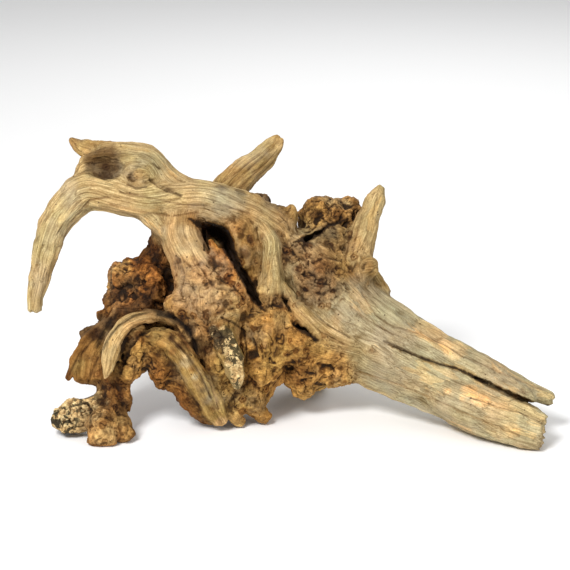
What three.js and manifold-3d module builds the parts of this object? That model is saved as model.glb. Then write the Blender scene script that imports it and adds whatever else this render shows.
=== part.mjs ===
// A piece of driftwood: a weathered root crown with a split trunk, an arched branch, stubs, burls and feet.
import * as THREE from "three";
import { mergeVertices } from "three/addons/utils/BufferGeometryUtils.js";
import Module from "manifold-3d";

// Sizes in millimetres, angles in degrees
const sightTilt = 18;
const eyeDistance = 2200;
const sightAcross = -5;
const sightUp = 162;
const datumShift = [2, 95.5, 0];
const groundBlock = 900;
const spanSteps = 3;
const triangleTarget = 9600;
const woodColour = 0xb89a6c;
const woodRoughness = 0.82;

// Stations along a limb: across, up, depth, half width, half depth, all in the upright sighting plane
const limbs = {
  archedBranch: {
    sides: 16, flutes: 5, relief: 0.07, phase: 0.4, twist: 0.5, ragged: 0.8,
    stations: [
      [-2, 200, 84, 18, 24],
      [-38, 226, 64, 24.5, 28],
      [-75, 243, 50, 21, 24],
      [-110, 247, 44, 20.5, 24],
      [-145, 247, 40, 20, 22],
      [-178, 253, 36, 19, 20],
      [-205, 256, 32, 19.5, 18],
      [-222, 242, 29, 17.5, 16],
      [-236, 223, 26, 16, 14.5],
      [-242.5, 206, 24, 14.5, 13],
      [-247.5, 184, 22, 12.3, 11.5],
      [-251.5, 164, 20, 10, 9.5],
      [-255, 147, 19, 8, 8],
      [-255.6, 135.5, 18, 7.5, 7.5],
    ],
  },
  upperLobe: {
    sides: 14, flutes: 4, relief: 0.06, phase: 1.1, twist: 0.3,
    stations: [
      [-190, 296, 56, 7, 10],
      [-168, 293, 58, 12, 16],
      [-146, 287, 57, 16, 19],
      [-124, 267, 50, 15, 20],
      [-96, 252, 49, 13, 20],
    ],
  },
  elbowWeb: {
    sides: 12, flutes: 3, relief: 0.04, phase: 0.2, twist: 0,
    stations: [
      [-211, 272, 38, 9, 11],
      [-196, 279, 42, 17, 15],
      [-166, 276, 46, 19, 17],
      [-140, 268, 46, 18, 17],
    ],
  },
  spur: {
    sides: 10, flutes: 3, relief: 0.08, phase: 0.8, twist: 0.2,
    stations: [
      [-186, 288, 58, 14, 9],
      [-201, 296, 68, 10, 7],
      [-211, 301, 76, 6.5, 5],
      [-219, 308, 82, 3.4, 3.4],
    ],
  },
  hollowRim: {
    sides: 8, flutes: 3, relief: 0.05, phase: 0, twist: 0,
    stations: [
      [-207, 305, 76, 3.4, 4],
      [-195, 304, 67, 2.6, 4],
      [-180, 301, 60, 5, 6],
    ],
  },
  backStub: {
    sides: 14, flutes: 5, relief: 0.08, phase: 0.6, twist: 0.4,
    stations: [
      [-70, 240, 78, 20, 18],
      [-58, 261, 88, 18, 14],
      [-43, 277, 97, 15.5, 11.5],
      [-28, 288, 104, 12.8, 10],
      [-16, 301, 110, 10, 7.5],
      [-10.5, 309.5, 113, 6, 5],
    ],
  },
  notchSpur: {
    sides: 12, flutes: 4, relief: 0.06, phase: 0.3, twist: 0.2,
    stations: [
      [-10, 195, 72, 20, 22],
      [-7, 218, 76, 15, 17],
      [-1, 233, 78, 9, 10],
      [3, 241, 78, 4, 5],
    ],
  },
  crownRidge: {
    sides: 10, flutes: 4, relief: 0.1, phase: 0.4, twist: 0.2,
    stations: [
      [-48, 241, 76, 10, 12],
      [-27, 234, 80, 11, 14],
      [-6, 229, 80, 13, 14],
    ],
  },
  rightHorn: {
    sides: 14, flutes: 5, relief: 0.07, phase: 0.9, twist: 0.3,
    stations: [
      [58, 158, 82, 24, 28],
      [66.5, 190, 78, 17, 18],
      [72.5, 212, 80, 14.5, 13.5],
      [79, 232, 84, 12, 11],
      [86, 248, 88, 10.5, 8.5],
      [91, 260.5, 91, 5, 4.5],
    ],
  },
  shoulderFlake: {
    sides: 8, flutes: 3, relief: 0.08, phase: 0.2, twist: 0,
    stations: [
      [78, 180, 86, 6, 9],
      [89, 165, 88, 6.5, 10],
      [98, 153, 86, 5, 9],
    ],
  },
  trunk: {
    sides: 20, flutes: 7, relief: 0.05, phase: 0.1, twist: 0.1,
    stations: [
      [-18, 212, 94, 12, 18],
      [4, 190, 86, 31, 40],
      [30, 154, 86, 42, 48],
      [62, 122, 84, 46, 46],
      [98, 98, 74, 45, 39],
      [141, 76, 56, 40, 33],
      [182, 55, 38, 37, 29],
      [213, 40, 21, 32, 24],
      [239, 30, 9, 21, 16],
    ],
  },
  upperProng: {
    sides: 12, flutes: 5, relief: 0.06, phase: 0.5, twist: 0.2, ragged: 2.5,
    stations: [
      [120, 113, 72, 8, 14],
      [150, 102, 62, 13, 22],
      [190, 82, 47, 12.5, 19],
      [230, 61, 33, 9.8, 14],
      [263, 48, 25, 7, 9],
    ],
  },
  lowerProng: {
    sides: 14, flutes: 6, relief: 0.06, phase: 1.3, twist: 0.2, ragged: 5,
    stations: [
      [120, 70, 58, 10, 18],
      [170, 47, 32, 26, 28],
      [210, 30, 11, 25.5, 24],
      [238, 19, -3, 22, 19],
      [252, 14, -7, 19, 17],
    ],
  },
  swirlStrand: {
    sides: 8, flutes: 3, relief: 0.06, phase: 0.2, twist: 0,
    stations: [
      [-8, 162, 42, 4, 7],
      [6, 142, 38, 7, 8],
      [24, 122, 38, 9, 8],
      [52, 104, 43, 9, 8],
      [86, 94, 46, 5, 7],
    ],
  },
  barkRidge: {
    sides: 8, flutes: 3, relief: 0.06, phase: 0.7, twist: 0,
    stations: [
      [74, 166, 70, 4, 7],
      [80, 143, 58, 7, 8],
      [98, 123, 53, 8, 8],
      [130, 113, 49, 7, 8],
      [160, 98, 43, 4, 7],
    ],
  },
  frontWedge: {
    sides: 14, flutes: 4, relief: 0.12, phase: 0.5236, twist: 0.03,
    stations: [
      [-33, 230, 44, 2.6, 6],
      [-27, 218, 41, 5, 8],
      [-19, 206, 39, 8.4, 10],
      [-18, 190, 40, 8, 11],
      [-18, 173, 42, 9.5, 13],
      [-20, 158, 44, 13.5, 17],
      [-22, 141, 48, 17, 20],
    ],
  },
  innerLobe: {
    sides: 12, flutes: 4, relief: 0.07, phase: 0.2, twist: 0.2,
    stations: [
      [-70, 246, 60, 12, 14],
      [-58, 232, 52, 15, 17],
      [-48, 216, 48, 16, 18],
      [-44, 199, 48, 13.5, 16],
      [-44, 181, 50, 10, 12],
    ],
  },
  shoulderSheet: {
    sides: 14, flutes: 5, relief: 0.09, phase: 0.5, twist: 0.1,
    stations: [
      [-50, 236, 66, 26, 26],
      [-34, 210, 64, 30, 25],
      [-26, 184, 64, 28, 24],
      [-24, 156, 64, 22, 20],
    ],
  },
  headSheet: {
    sides: 14, flutes: 5, relief: 0.1, phase: 0.2, twist: 0.1,
    stations: [
      [-20, 212, 78, 16, 22],
      [6, 192, 76, 22, 28],
      [32, 176, 76, 28, 32],
      [54, 158, 78, 26, 30],
    ],
  },
  columnFlare: {
    sides: 12, flutes: 4, relief: 0.06, phase: 0.3, twist: 0.1,
    stations: [
      [-164, 249, 40, 9, 12],
      [-139, 233, 40, 12, 15],
      [-121, 213, 39, 11, 16],
      [-112, 190, 36, 8, 14],
    ],
  },
  column: {
    sides: 16, flutes: 5, relief: 0.07, phase: 0.6, twist: 0.15,
    stations: [
      [-106, 254, 54, 15, 14],
      [-109, 232, 42, 21, 20],
      [-110, 213, 37, 20.5, 21],
      [-100, 189, 32, 21, 23],
      [-88, 163, 28, 29, 26],
      [-84, 139, 29, 36, 28],
      [-80, 117, 36, 34, 26],
      [-74, 92, 46, 26, 22],
    ],
  },
  brownTongue: {
    sides: 10, flutes: 3, relief: 0.1, phase: 0.4, twist: 0.1,
    stations: [
      [-76, 209, 22, 6.5, 5],
      [-69, 189, 17, 10, 7],
      [-58, 167, 17, 11, 9],
      [-50, 146, 24, 11, 10],
      [-44, 130, 38, 8, 9],
    ],
  },
  cavityWall: {
    sides: 18, flutes: 7, relief: 0.13, phase: 0.4, twist: 0.3,
    stations: [
      [-72, 236, 84, 24, 20],
      [-60, 205, 96, 30, 22],
      [-50, 165, 100, 36, 24],
      [-52, 120, 92, 42, 28],
      [-64, 84, 80, 34, 26],
      [-66, 58, 72, 25, 20],
    ],
  },
  backRib: {
    sides: 12, flutes: 5, relief: 0.13, phase: 0.2, twist: 0.25,
    stations: [
      [-52, 240, 88, 14, 14],
      [-66, 212, 110, 19, 12],
      [-74, 180, 118, 20, 13],
      [-66, 144, 120, 21, 13],
      [-72, 110, 108, 18, 13],
      [-80, 84, 90, 12, 12],
      [-82, 66, 76, 8, 9],
    ],
  },
  backSpine: {
    sides: 12, flutes: 5, relief: 0.14, phase: 0.7, twist: 0.2,
    stations: [
      [2, 208, 108, 22, 20],
      [-18, 186, 122, 24, 15],
      [-30, 156, 126, 25, 15],
      [-30, 124, 124, 23, 15],
      [-42, 96, 112, 17, 14],
      [-50, 74, 92, 11, 12],
    ],
  },
  backSheet: {
    sides: 16, flutes: 7, relief: 0.13, phase: 0.4, twist: 0.2,
    stations: [
      [-22, 208, 100, 30, 20],
      [-46, 172, 108, 38, 20],
      [-48, 132, 108, 38, 20],
      [-54, 98, 98, 32, 20],
      [-60, 72, 84, 22, 17],
    ],
  },
  backShoulder: {
    sides: 14, flutes: 5, relief: 0.12, phase: 0.1, twist: 0.2,
    stations: [
      [14, 200, 116, 26, 20],
      [40, 166, 122, 26, 16],
      [72, 134, 114, 21, 16],
      [118, 104, 92, 12, 14],
    ],
  },
  backRoot: {
    sides: 10, flutes: 4, relief: 0.1, phase: 0.8, twist: 0.2,
    stations: [
      [-122, 230, 54, 15, 16],
      [-128, 204, 64, 12, 15],
      [-139, 182, 70, 15, 18],
    ],
  },
  rootShelf: {
    sides: 14, flutes: 6, relief: 0.12, phase: 0.3, twist: 0.2,
    stations: [
      [-98, 150, 78, 26, 24],
      [-124, 132, 76, 28, 26],
      [-150, 112, 66, 28, 24],
      [-166, 92, 56, 22, 20],
    ],
  },
  underRoot: {
    sides: 12, flutes: 5, relief: 0.12, phase: 0.7, twist: 0.2,
    stations: [
      [-122, 112, 62, 24, 20],
      [-108, 88, 60, 24, 20],
      [-92, 64, 58, 19, 18],
      [-78, 44, 56, 14, 15],
    ],
  },
  earFan: {
    sides: 16, flutes: 7, relief: 0.09, phase: 0.3, twist: 0.1,
    stations: [
      [-172, 125, 60, 14, 15],
      [-187, 106, 50, 16, 14],
      [-196, 87, 40, 19, 12],
      [-197, 66, 33, 19, 10],
    ],
  },
  earRim: {
    sides: 8, flutes: 3, relief: 0.08, phase: 0.1, twist: 0,
    stations: [
      [-184, 122, 52, 8, 8],
      [-202, 107, 44, 7, 7],
      [-214, 89, 35, 5.5, 6],
      [-222, 68, 31, 3.6, 4.5],
    ],
  },
  hookStrip: {
    sides: 16, flutes: 4, relief: 0.15, phase: 0.5236, twist: 0,
    stations: [
      [-127, 129, 26, 3.5, 5],
      [-140, 131, 18, 5, 5],
      [-153, 129, 11, 6.8, 4.6],
      [-167, 121, 5, 8.4, 4.8],
      [-177, 106, 2, 9, 5],
      [-180.5, 90, 2, 9.6, 4.8],
      [-182, 79, 4, 6.5, 4],
      [-184.5, 68, 6, 1.6, 2.4],
    ],
  },
  hookBack: {
    sides: 8, flutes: 3, relief: 0.08, phase: 0.2, twist: 0.1,
    stations: [
      [-140, 133, 34, 5, 10],
      [-158, 126, 26, 7, 13],
      [-172, 108, 18, 8, 14],
      [-177, 88, 18, 8, 13],
    ],
  },
  barkStrip: {
    sides: 8, flutes: 3, relief: 0.1, phase: 0.6, twist: 0.1,
    stations: [
      [-146, 136, 28, 3.5, 6],
      [-128, 132, 22, 4.5, 7],
      [-112, 124, 20, 5.5, 8],
      [-100, 109, 22, 5, 8],
      [-94, 92, 27, 4, 6],
    ],
  },
  oliveRoot: {
    sides: 16, flutes: 4, relief: 0.13, phase: 0.5236, twist: 0.06,
    stations: [
      [-138, 112, 30, 9, 12],
      [-121, 106, 20, 12.5, 12],
      [-107, 91, 16, 13, 12],
      [-96, 73, 17, 12.5, 11],
      [-85, 54, 23, 12.5, 11.5],
      [-75, 37, 32, 12, 10.5],
      [-69, 25, 39, 8.5, 8.5],
    ],
  },
  lowerMass: {
    sides: 14, flutes: 5, relief: 0.1, phase: 0.9, twist: 0.2,
    stations: [
      [-136, 101, 34, 12, 16],
      [-124, 84, 35, 14, 18],
      [-106, 60, 39, 13.5, 17],
      [-90, 40, 44, 12.5, 15],
      [-74, 30, 49, 9, 10],
    ],
  },
  leftLeg: {
    sides: 14, flutes: 6, relief: 0.13, phase: 0.5, twist: 0.2,
    stations: [
      [-170, 97, 50, 16, 18],
      [-177, 60, 36, 16, 16],
      [-178, 40, 25, 16.5, 16],
      [-185, 20, 10, 18, 15],
      [-189, 5, 3, 16, 13],
    ],
  },
  rightToe: {
    sides: 10, flutes: 4, relief: 0.08, phase: 0.1, twist: 0.2,
    stations: [
      [-178, 24, 17, 13, 13],
      [-167, 17, 12, 11.5, 11],
      [-161, 9, 8, 8, 7],
    ],
  },
  legSplinter: {
    sides: 8, flutes: 3, relief: 0.08, phase: 0.1, twist: 0,
    stations: [
      [-168, 66, 34, 6, 6],
      [-163, 48, 31, 5, 5],
      [-160, 34, 28, 1.8, 2],
    ],
  },
  lichenFoot: {
    sides: 16, flutes: 4, relief: 0.12, phase: 0.5236, twist: 0.05, ragged: 1,
    stations: [
      [-186, 41, 28, 14, 15],
      [-204, 34.5, 27, 16, 16],
      [-218, 29.5, 27, 17.5, 16.5],
      [-230, 30, 28, 14, 14.5],
      [-237, 31.5, 28, 7.5, 10],
    ],
  },
  patchedHorn: {
    sides: 16, flutes: 4, relief: 0.13, phase: 0.5236, twist: 0.08,
    stations: [
      [-40, 130, 40, 6, 8],
      [-58, 132, 20, 8, 9],
      [-69, 120, 10, 12, 10],
      [-65, 104, 5, 13, 10],
      [-58, 89, 3, 12, 9],
      [-53, 72, 4, 9.5, 8],
      [-52, 57, 6, 3, 4],
    ],
  },
  hornBacking: {
    sides: 10, flutes: 5, relief: 0.12, phase: 0.2, twist: 0.2,
    stations: [
      [-74, 112, 34, 14, 16],
      [-73, 88, 34, 12, 14],
      [-70, 64, 40, 12, 14],
      [-64, 46, 44, 12, 13],
    ],
  },
  centreMass: {
    sides: 16, flutes: 7, relief: 0.1, phase: 0.8, twist: 0.2,
    stations: [
      [-32, 152, 52, 14, 20],
      [-24, 124, 52, 33, 32],
      [-27, 92, 53, 27, 29],
      [-36, 64, 52, 22, 23],
      [-42, 44, 52, 16, 17],
    ],
  },
  massBridge: {
    sides: 14, flutes: 6, relief: 0.1, phase: 0.5, twist: 0.2,
    stations: [
      [-34, 114, 54, 20, 26],
      [0, 108, 54, 25, 28],
      [34, 99, 62, 24, 28],
      [58, 92, 70, 18, 24],
    ],
  },
  smallToe: {
    sides: 10, flutes: 3, relief: 0.06, phase: 0.2, twist: 0,
    stations: [
      [-64, 40, 42, 9, 9],
      [-54, 28, 46, 7, 7],
      [-47, 24, 49, 5.5, 5.5],
    ],
  },
  forkToe: {
    sides: 10, flutes: 3, relief: 0.08, phase: 0.4, twist: 0.1,
    stations: [
      [-46, 46, 50, 12, 12],
      [-32, 36, 54, 9, 9],
      [-21, 28, 58, 6.5, 6.5],
    ],
  },
  backLeg: {
    sides: 14, flutes: 5, relief: 0.14, phase: 0.3, twist: 0.6,
    stations: [
      [8, 150, 104, 38, 32],
      [2, 118, 128, 28, 25],
      [9, 96, 144, 20, 19],
      [22, 78, 154, 15.5, 15],
      [19, 61, 160, 15, 14],
    ],
  },
};

// Burls: centre across, up, depth, then half sizes, then how many knobs swell from them and how far
const burls = [
  { at: [-151, 271, 35], half: [14, 13, 10], knobs: 5, swell: 0.1, seed: 3, detail: 3 },
  { at: [-31, 245, 92], half: [12, 9, 13], knobs: 7, swell: 0.2, seed: 5, detail: 3 },
  { at: [34, 227, 104], half: [24, 21, 22], knobs: 15, swell: 0.2, seed: 8, detail: 4 },
  { at: [54, 226, 112], half: [18, 20, 20], knobs: 12, swell: 0.2, seed: 9, detail: 4 },
  { at: [22, 231, 114], half: [11, 14, 16], knobs: 8, swell: 0.18, seed: 10, detail: 3 },
  { at: [40, 216, 126], half: [20, 16, 16], knobs: 11, swell: 0.22, seed: 11, detail: 4 },
  { at: [62, 234, 108], half: [11, 12, 13], knobs: 8, swell: 0.18, seed: 13, detail: 3 },
  { at: [36, 206, 94], half: [28, 16, 28], knobs: 11, swell: 0.2, seed: 12, detail: 4 },
  { at: [79, 180, 66], half: [10.5, 11, 11], knobs: 5, swell: 0.08, seed: 14, detail: 3 },
  { at: [-160, 168, 74], half: [19, 19, 22], knobs: 13, swell: 0.2, seed: 17, detail: 4 },
  { at: [-138, 162, 64], half: [17, 22, 22], knobs: 14, swell: 0.2, seed: 19, detail: 4 },
  { at: [-166, 150, 70], half: [13, 12, 17], knobs: 9, swell: 0.2, seed: 20, detail: 3 },
  { at: [-175, 145, 74], half: [12, 10, 13], knobs: 8, swell: 0.18, seed: 21, detail: 3 },
  { at: [-180, 132, 68], half: [10, 9, 12], knobs: 7, swell: 0.18, seed: 23, detail: 3 },
  { at: [-146, 139, 58], half: [17, 12, 17], knobs: 10, swell: 0.18, seed: 24, detail: 3 },
  { at: [-166, 134, 58], half: [14, 12, 15], knobs: 9, swell: 0.18, seed: 25, detail: 3 },
  { at: [-198, 114, 56], half: [11, 8, 12], knobs: 7, swell: 0.16, seed: 27, detail: 3 },
  { at: [-153, 99, 30], half: [14, 25, 18], knobs: 11, swell: 0.18, seed: 29, detail: 4 },
  { at: [-163, 78, 30], half: [11, 13, 14], knobs: 7, swell: 0.18, seed: 31, detail: 3 },
  { at: [-73, 84, 26], half: [10, 16, 12], knobs: 8, swell: 0.2, seed: 39, detail: 3 },
  { at: [-66, 54, 40], half: [11, 14, 14], knobs: 8, swell: 0.2, seed: 41, detail: 3 },
  { at: [-52, 44, 48], half: [13, 12, 14], knobs: 8, swell: 0.2, seed: 42, detail: 3 },
  { at: [-14, 68, 58], half: [8, 9, 10], knobs: 7, swell: 0.2, seed: 44, detail: 3 },
  { at: [-98, 122, 34], half: [12, 9, 12], knobs: 7, swell: 0.2, seed: 45, detail: 3 },
  { at: [16, 76, 72], half: [23, 21, 24], knobs: 14, swell: 0.2, seed: 47, detail: 4 },
  { at: [34, 70, 72], half: [18, 12, 19], knobs: 9, swell: 0.2, seed: 49, detail: 3 },
  { at: [-128, 76, 34], half: [14, 17, 16], knobs: 9, swell: 0.18, seed: 55, detail: 3 },
  { at: [-24, 124, 34], half: [21, 13, 15], knobs: 11, swell: 0.16, seed: 57, detail: 3 },
  { at: [2, 101, 38], half: [19, 13, 16], knobs: 11, swell: 0.16, seed: 58, detail: 3 },
  { at: [-30, 76, 34], half: [14, 15, 13], knobs: 10, swell: 0.16, seed: 59, detail: 3 },
  { at: [50, 74, 72], half: [20, 12, 20], knobs: 9, swell: 0.2, seed: 51, detail: 3 },
  { at: [-126, 172, 80], half: [18, 28, 18], knobs: 9, swell: 0.2, seed: 53, detail: 3 },
  { at: [-92, 164, 17], half: [20, 20, 15], knobs: 12, swell: 0.12, seed: 71, detail: 3 },
  { at: [-70, 152, 18], half: [20, 18, 16], knobs: 12, swell: 0.12, seed: 72, detail: 3 },
  { at: [-106, 142, 20], half: [18, 15, 15], knobs: 11, swell: 0.14, seed: 73, detail: 3 },
  { at: [-86, 129, 18], half: [24, 13, 15], knobs: 13, swell: 0.14, seed: 74, detail: 3 },
  { at: [-56, 144, 22], half: [15, 14, 14], knobs: 11, swell: 0.14, seed: 75, detail: 3 },
  { at: [-97, 116, 22], half: [15, 12, 14], knobs: 11, swell: 0.14, seed: 76, detail: 3 },
  { at: [-188, 18, 5], half: [16, 19, 12], knobs: 10, swell: 0.16, seed: 81, detail: 3 },
  { at: [-172, 20, 12], half: [13, 16, 11], knobs: 9, swell: 0.16, seed: 82, detail: 3 },
  { at: [4, 104, 150], half: [20, 18, 16], knobs: 11, swell: 0.2, seed: 83, detail: 3 },
  { at: [-40, 178, 128], half: [20, 17, 15], knobs: 11, swell: 0.2, seed: 84, detail: 3 },
  { at: [-62, 128, 120], half: [16, 20, 15], knobs: 11, swell: 0.2, seed: 85, detail: 3 },
];

// Hollows: rounded scoops and winding slots taken out of the wood
const scoops = [
  { at: [-186, 281, 22], half: [27, 15, 13], knobs: 4, swell: 0.08, seed: 61, detail: 4 },
  { at: [-38, 92, 22], half: [5.5, 6, 12], knobs: 3, swell: 0.08, seed: 63, detail: 3 },
  { at: [16, 205, 76], half: [6, 8, 20], knobs: 3, swell: 0.08, seed: 65, detail: 3 },
];
const slots = {
  darkCavity: {
    sides: 10, flutes: 3, relief: 0.12, phase: 0.3, twist: 0.2,
    stations: [
      [-82, 218, 40, 7, 34],
      [-70, 211, 42, 10, 38],
      [-60, 194, 44, 6, 40],
      [-52, 178, 44, 5, 38],
      [-42, 161, 44, 6.2, 36],
      [-34, 147, 42, 4.5, 30],
      [-27, 138, 40, 2, 20],
    ],
  },
  burlCrevice: {
    sides: 8, flutes: 3, relief: 0.05, phase: 0, twist: 0,
    stations: [
      [12, 207, 62, 3, 16],
      [24, 211, 70, 2.4, 12],
      [38, 220, 78, 1.8, 10],
      [55, 227, 82, 1.2, 8],
    ],
  },
  trunkCrack: {
    sides: 10, flutes: 3, relief: 0.04, phase: 0, twist: 0,
    stations: [
      [104, 100, 28, 0.8, 12],
      [140, 86, 22, 1, 14],
      [170, 77, 11, 1.3, 15],
      [190, 67, 5, 2, 17],
      [220, 53, -4, 2.8, 18],
      [245, 42, 0, 3, 30],
      [272, 36, 4, 3.4, 42],
    ],
  },
  stumpCleft: {
    sides: 8, flutes: 3, relief: 0.05, phase: 0, twist: 0,
    stations: [
      [6, 122, 34, 1.2, 8],
      [14, 115, 36, 3, 10],
      [24, 109, 38, 1.2, 8],
    ],
  },
};

const sight = (sightTilt * Math.PI) / 180;
const sightRight = new THREE.Vector3(1, 0, 0);
const sightAhead = new THREE.Vector3(0, Math.cos(sight), -Math.sin(sight));
const sightTop = new THREE.Vector3(0, Math.sin(sight), Math.cos(sight));

// A place given by across, up and depth
function place(across, up, depth) {
  const reach = 1 + depth / eyeDistance;
  const point = new THREE.Vector3();
  point.addScaledVector(sightRight, sightAcross + (across - sightAcross) * reach);
  point.addScaledVector(sightTop, sightUp + (up - sightUp) * reach);
  point.addScaledVector(sightAhead, depth);
  return point;
}

// A repeatable number from 0 to 1
function chance(seed) {
  const wave = Math.sin(seed * 127.1 + 11.7) * 43758.5453;
  return wave - Math.floor(wave);
}

// How far the section stands out at an angle round the limb and a share of its length
function sectionSwell(limb, angle, share) {
  const turn = limb.twist * share * 2 * Math.PI;
  const first = Math.cos(limb.flutes * angle + limb.phase * 6 + turn);
  const second = Math.cos((limb.flutes + 3) * angle - limb.phase * 9 + 2 * turn + 5 * share);
  return 1 + limb.relief * (0.7 * first + 0.45 * second);
}

// A closed limb lofted along its stations
function limbGeometry(limb) {
  const count = limb.stations.length;
  const centres = limb.stations.map((s) => place(s[0], s[1], s[2]));
  const path = new THREE.CatmullRomCurve3(centres, false, "centripetal");
  const sizes = new THREE.CatmullRomCurve3(
    limb.stations.map((s) => new THREE.Vector3(s[3], s[4], 0).multiplyScalar(1 + s[2] / eyeDistance)),
    false,
    "catmullrom",
    0.5,
  );
  const rings = (count - 1) * spanSteps;
  const positions = [];
  const indices = [];
  const frames = [];
  for (let ring = 0; ring <= rings; ring += 1) {
    const share = ring / rings;
    const centre = path.getPoint(share);
    const along = path.getTangent(share);
    const wide = new THREE.Vector3().crossVectors(along, sightAhead).normalize();
    const deep = new THREE.Vector3().crossVectors(wide, along).normalize();
    const size = sizes.getPoint(share);
    frames.push({ centre, along, size });
    for (let side = 0; side < limb.sides; side += 1) {
      const angle = (side / limb.sides) * 2 * Math.PI;
      const swell = sectionSwell(limb, angle, share);
      const point = centre.clone();
      point.addScaledVector(wide, Math.cos(angle) * size.x * swell);
      point.addScaledVector(deep, Math.sin(angle) * size.y * swell);
      if (limb.ragged && ring === rings) {
        point.addScaledVector(along, limb.ragged * (chance(side + 3 * limb.sides) - 0.5) * 2);
      }
      positions.push(point.x, point.y, point.z);
    }
  }
  for (let ring = 0; ring < rings; ring += 1) {
    for (let side = 0; side < limb.sides; side += 1) {
      const next = (side + 1) % limb.sides;
      const a = ring * limb.sides + side;
      const b = ring * limb.sides + next;
      indices.push(a, b, a + limb.sides, b, b + limb.sides, a + limb.sides);
    }
  }
  const caps = [[frames[0], -1, 0], [frames[rings], 1, rings * limb.sides]];
  for (const [frame, way, first] of caps) {
    const dome = (limb.ragged ? 0.1 : 0.45) * Math.min(frame.size.x, frame.size.y);
    const tip = frame.centre.clone().addScaledVector(frame.along, way * dome);
    const tipIndex = positions.length / 3;
    positions.push(tip.x, tip.y, tip.z);
    for (let side = 0; side < limb.sides; side += 1) {
      const next = (side + 1) % limb.sides;
      if (way < 0) {
        indices.push(first + next, first + side, tipIndex);
      } else {
        indices.push(first + side, first + next, tipIndex);
      }
    }
  }
  return closedGeometry(positions, indices);
}

// A knobby closed lump
function burlGeometry(burl) {
  const ball = new THREE.IcosahedronGeometry(1, burl.detail);
  ball.deleteAttribute("normal");
  ball.deleteAttribute("uv");
  const merged = mergeVertices(ball, 1e-5);
  const spots = merged.getAttribute("position");
  const middle = place(burl.at[0], burl.at[1], burl.at[2]);
  const reach = 1 + burl.at[2] / eyeDistance;
  const knobs = [];
  for (let knob = 0; knob < burl.knobs; knob += 1) {
    const height = 1 - (2 * (knob + 0.5)) / burl.knobs;
    const turn = knob * 2.39996 + chance(burl.seed + knob) * 1.2;
    const flat = Math.sqrt(1 - height * height);
    knobs.push(new THREE.Vector3(flat * Math.cos(turn), flat * Math.sin(turn), height));
  }
  const positions = [];
  for (let i = 0; i < spots.count; i += 1) {
    const ray = new THREE.Vector3(spots.getX(i), spots.getY(i), spots.getZ(i)).normalize();
    let lift = 0;
    for (const knob of knobs) {
      const nearness = Math.max(0, (ray.dot(knob) - 0.62) / 0.38);
      lift = Math.max(lift, Math.sqrt(nearness));
    }
    const swell = 1 - burl.swell * 0.6 + burl.swell * 1.5 * lift;
    const point = middle.clone();
    point.addScaledVector(sightRight, ray.x * burl.half[0] * swell * reach);
    point.addScaledVector(sightTop, ray.y * burl.half[1] * swell * reach);
    point.addScaledVector(sightAhead, -ray.z * burl.half[2] * swell * reach);
    positions.push(point.x, point.y, point.z);
  }
  return closedGeometry(positions, Array.from(merged.index.array));
}

// Indexed triangles from plain lists
function closedGeometry(positions, indices) {
  const geometry = new THREE.BufferGeometry();
  geometry.setAttribute("position", new THREE.Float32BufferAttribute(positions, 3));
  geometry.setIndex(indices);
  return geometry;
}

const wasm = await Module();
wasm.setup();

// A solid from a closed geometry, turned outward when its faces point in
function solidOf(geometry) {
  const vertProperties = new Float32Array(geometry.getAttribute("position").array);
  const triVerts = new Uint32Array(geometry.index.array);
  const solid = new wasm.Manifold(new wasm.Mesh({ numProp: 3, vertProperties, triVerts }));
  if (solid.volume() > 0) {
    return solid;
  }
  const turned = triVerts.slice();
  for (let i = 0; i < turned.length; i += 3) {
    turned[i] = triVerts[i + 1];
    turned[i + 1] = triVerts[i];
  }
  return new wasm.Manifold(new wasm.Mesh({ numProp: 3, vertProperties, triVerts: turned }));
}

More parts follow.
